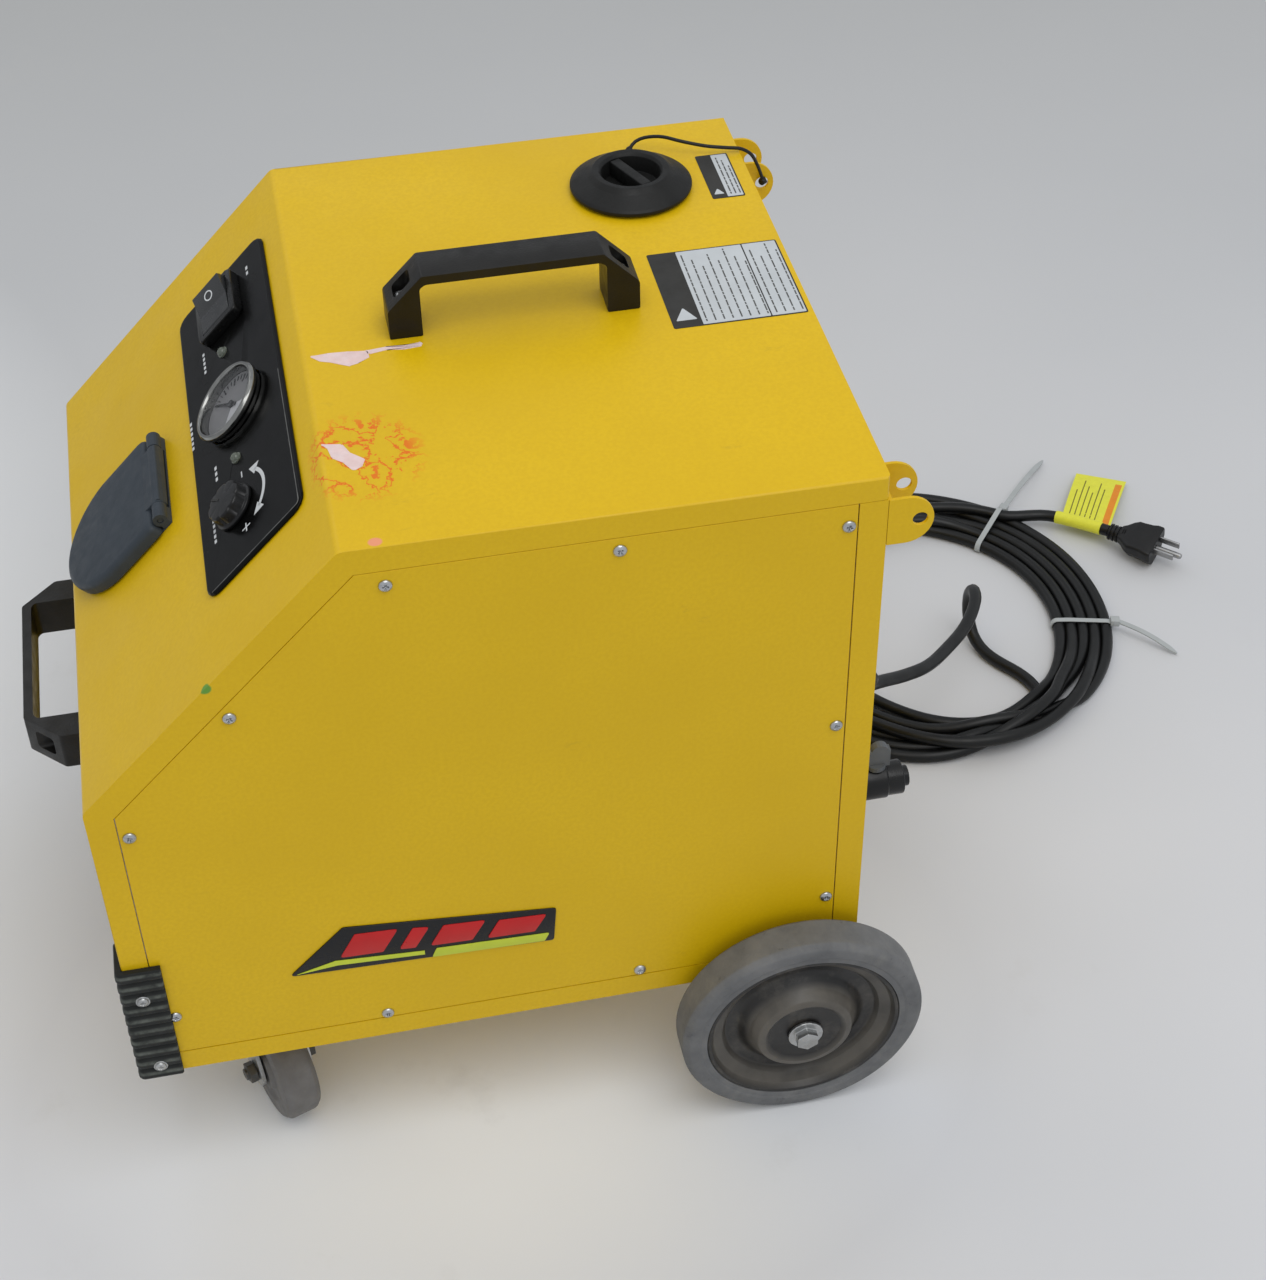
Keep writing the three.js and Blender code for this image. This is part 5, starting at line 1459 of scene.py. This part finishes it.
# ---- filler ----
def filler():
    base = on(CH, CAP["x"], CAP["y"], HEIGHT)
    r = CAP["r"]
    outer = [
        (0, -20), (18.4, -20), (18.4, 2.9), (33, 2.9), (34.5, 1.9), (r - 0.4, 1.9), (r, 2.6), (r, 4.2),
        (r - 1.6, 5.4), (26.4, 10.6), (23.0, 13.2), (19.6, 13.0), (18.0, 11.2), (17.2, 1.4), (0, 1.4),
    ]
    radii = [0, 0.8, 0, 0.6, 0.4, 0.4, 0.5, 0.8, 1.0, 1.4, 1.0, 1.0, 1.2, 0.6, 0]
    cap = lathe("filler_cap_body", fillet(outer, radii, 4, False), base, CAP_BLACK, "cap", 96)
    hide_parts("filler_cap")
    bm = bmesh.new()
    prism_into(bm, rounded(-17.2, 17.2, -3.4, 3.4, 1.2, 3), 1.2, 11.4, 1.2, 3)
    finish_piece("filler_cap_grip", bm, base @ turn(24, "Z"), CAP_BLACK, "cap")
    ring = fillet([(28, 0.3), (33, 0.3), (33, 1.5), (28, 1.5)], 0.4, 2)
    bm = bmesh.new()
    lathe_into(bm, ring, 72, None, True)
    lean = turn(-10, "Z")
    eye = fillet([(1.6, 0.3), (4.2, 0.3), (4.2, 1.5), (1.6, 1.5)], 0.3, 2)
    lathe_into(bm, eye, 28, lean @ Matrix.Translation((-39.5, 0, 0)), True)
    prism_into(bm, [(-36.2, -2.8), (-31, -3.6), (-31, 3.6), (-36.2, 2.8)], 0.35, 1.45, 0.2, 1, lean)
    piece = finish_piece("tether_eye_ring", bm, base, CAP_BLACK, "tether_ring")
    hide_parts("cap_tether_ring")


# ---- wheels ----
def wheel_frame(side):
    return on(CH, 0, AXLE_Y, AXLE_Z) @ turn(90 * side, "Y")


def rear_wheels():
    inner, outer = WHEEL_IN, WHEEL_OUT
    tyre = fillet(
        [(61, inner), (WHEEL_R - 3.5, inner), (WHEEL_R, inner + 3.5), (WHEEL_R, outer - 3.5),
         (WHEEL_R - 3.5, outer), (66, outer), (64.6, outer - 0.7), (61, outer - 0.7)],
        [0.4, 3, 2.4, 2.4, 3, 0.6, 0.4, 0.4], 4,
    )
    rim = fillet(
        [(6.75, inner), (17, inner), (19, inner + 7), (55, inner + 8), (57, inner + 1), (RIM_R, inner + 1),
         (RIM_R, outer - 1.2), (58.4, outer - 1.2), (56.4, outer - 5.2), (50, outer - 8), (47.5, outer - 12),
         (40, outer - 12.6), (33.5, outer - 5), (29.5, outer + 2.4), (25.4, outer + 3.2), (22.6, outer + 1),
         (6.75, outer + 1)],
        [0.3, 2, 2, 3, 1, 0.6, 0.6, 0.8, 1.2, 1.6, 2, 5, 6, 2.6, 1.2, 0.4, 0.3], 5,
    )
    for name, side in SIDES:
        body = "rear_wheel_" + name
        piece = lathe("tyre_" + name, tyre, wheel_frame(side), TYRE, body, 128, True, 30)
        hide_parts("rear_tyre_" + name)
        piece = lathe("rim_" + name, rim, wheel_frame(side), RIM, body, 96, True, 40)
        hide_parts("rear_rim_" + name)


def caster_wheels():
    """Both caster wheels, with their forks trailing at the angle they stand at."""
    yaw = math.radians(CASTER["yaw"])
    half = CASTER["half"]
    profile = fillet(
        [(4.4, -half), (14, -half), (16, -half + 2.4), (22, -half + 2.6), (24, -half + 1.2),
         (34.5, -half + 1.5), (37.5, -half + 5), (37.5, half - 5), (34.5, half - 1.5),
         (24, half - 1.2), (22, half - 2.6), (16, half - 2.4), (14, half), (4.4, half)],
        [0.3, 0.8, 0.8, 0.8, 1.2, 2.5, 3, 3, 2.5, 1.2, 0.8, 0.8, 0.8, 0.3], 3,
    )
    for name, side in SIDES:
        x = side * CASTER["x"] + CASTER["trail"] * math.cos(yaw)
        at = on(CH, x, CASTER["y"] + CASTER["trail"] * math.sin(yaw), floor_z(CASTER["r"]))
        base = at @ Matrix.Rotation(yaw, 4, "Z") @ turn(-90, "X")
        body = "caster_roller_" + name
        tread = "caster_roller_tread_" + name
        piece = lathe(tread, profile, base, CASTER_GREY, body, 72, True)
        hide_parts("caster_wheel_" + name)


# ---- rear fittings ----
def rear_fittings():
    """The drain valve's body and the cord's strain relief, both standing out of the rear panel."""
    base = on(CH, VALVE["x"], LENGTH, VALVE["z"]) @ Z_ALONG_Y
    profile = fillet(
        [(0, -22), (7.6, -22), (7.6, 0.3), (11.7, 0.3), (11.7, 13), (11.2, 13.6), (11.2, 15), (11.7, 15.6),
         (11.7, 29.5), (10.7, 30.5), (10.7, 40.5), (6.5, 40.5), (6.5, 44.5), (4, 44.5), (4, 41.5), (0, 41.5)],
        [0, 0, 0, 0.5, 0.4, 0.2, 0.2, 0.4, 0.5, 0.3, 0.8, 0.3, 0.6, 0.4, 0, 0], 3, False,
    )
    valve = lathe("valve_body", profile, base, VALVE_BLACK, "chassis", 56)
    tools = [tool_prism(rod_outline(VALVE["x"], LENGTH + 24, 3.6, 24), VALVE["z"] + 4, VALVE["z"] + 30, CH)]
    cut(valve, tools)
    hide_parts("drain_valve")
    base = on(CH, GLAND["x"], LENGTH, GLAND["z"]) @ Z_ALONG_Y
    relief = [(0, -10), (8.6, -10), (8.6, 0.3), (12, 0.3), (12, 6), (9.4, 7.4)]
    for i in range(7):
        h = 8.4 + i * 3.5
        r = 9.0 - i * 0.34
        relief += [(r, h), (r, h + 2.0), (r - 0.9, h + 2.3), (r - 0.9, h + 3.1)]
    relief += [(6.3, 33.4), (6.0, 34), (0, 34)]
    piece = lathe("cord_gland", relief, base, PLUG_BLACK, "chassis", 40)
    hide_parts("strain_relief")


dress_cad_nodes()
cover()
side_screws()
emblem()
for NAME, SIGN in SIDES:
    bumper(NAME, SIGN)
bridge_handle("carry_handle_top", on(CH, -2, 270.8, HEIGHT), "top_handle")
ACROSS = Matrix(((0, 1, 0, 0), (0, 0, -1, 0), (-1, 0, 0, 0), (0, 0, 0, 1)))
bridge_handle("carry_handle_front", on(CH, 0, 0, 161) @ ACROSS, "front_handle")
label("top_label", -41.9, 34.9, 355.8, 433, 17, 412, 12)
label("small_label", -144, -93.4, 407.7, 427.8, 9.5, 0, 3)
torn_paper()
panel_marks()
switch()
gauge()
knob()
lamps()
flap()
filler()
rear_wheels()
caster_wheels()
rear_fittings()


# ---- stage and light ----
def stage():
    """A pale paper sweep: a wide floor that rises far to the machine's right."""
    bm = bmesh.new()
    line = [(-7.6, 2.4), (-7.35, 1.0), (-7.2, 0.35), (-7.05, 0.12), (-6.85, 0.02), (-6.6, 0.0), (5.5, 0.0)]
    line = fillet(line, 0.3, 6, False)
    rows = [[bm.verts.new((x, y, z)) for x, z in line] for y in (-7.0, 7.0)]
    for i in range(len(line) - 1):
        bm.faces.new((rows[0][i], rows[0][i + 1], rows[1][i + 1], rows[1][i]))
    p = Paint("backdrop_paper", 0.9)
    tone = p.patches(1.6, 3, linear(208, 209, 212), linear(218, 218, 220))
    # painted shade: the floor darker towards its far end, away from the lights
    far = p.ramp(p.near((-2.3, 0, 0), (2.6, 60, 60)), (0.1, 0.0), (0.75, 1.0))
    tone = p.mix(far, tone, linear(182, 182, 180))
    # painted light: the floor paler in front of and beside the machine, where its shadow falls
    at_front = p.near((0.12, 0.0, 0), (0.25, 0.32, 1))
    painted_light_round_machine = p.maths("MAXIMUM", at_front, p.near((-0.35, -0.7, 0), (0.8, 0.5, 1)))
    tone = p.mix(p.ramp(painted_light_round_machine, (0.0, 0.0), (0.7, 0.85)), tone, linear(250, 251, 250))
    smudge = p.ramp(p.noise(9, 7, 0.7), (0.6, 0.0), (0.78, 0.25))
    tone = p.mix(smudge, tone, linear(196, 194, 190))
    p.colour(tone)
    p.bump(p.noise(2.2, 3, 0.5), 0.02, 0.5)
    floor = finish_piece("backdrop", bm, Matrix.Identity(4), p.material, None, 60)
    if floor.data.polygons[-1].normal.z < 0:
        floor.data.flip_normals()


def light(name, at, aim, size, power, colour=(1, 1, 1)):
    data = bpy.data.lights.new(name, "AREA")
    data.shape = "RECTANGLE"
    data.size, data.size_y = size
    data.energy = power
    data.color = colour
    lamp = bpy.data.objects.new(name, data)
    lamp.location = at
    lamp.rotation_euler = (Vector(aim) - Vector(at)).to_track_quat("-Z", "Y").to_euler()
    bpy.context.scene.collection.objects.link(lamp)


def lighting():
    world = bpy.data.worlds.new("studio")
    world.use_nodes = True
    shade = world.node_tree.nodes["Background"]
    shade.inputs["Color"].default_value = (0.93, 0.96, 1.0, 1)
    shade.inputs["Strength"].default_value = 0.66
    bpy.context.scene.world = world
    light("overhead", (0.1, 0.5, 2.6), (0, 0.1, 0.2), (2.2, 2.2), 4, (1.0, 0.99, 0.97))
    light("side_key", (1.25, 0.45, 2.8), (0.3, 0.1, 0.1), (2.0, 2.0), 27)
    light("tube", (-1.4, -0.6, 2.2), (0, 0, 0.4), (0.3, 1.6), 2.5)


stage()
lighting()
bpy.context.scene.view_settings.view_transform = "Standard"
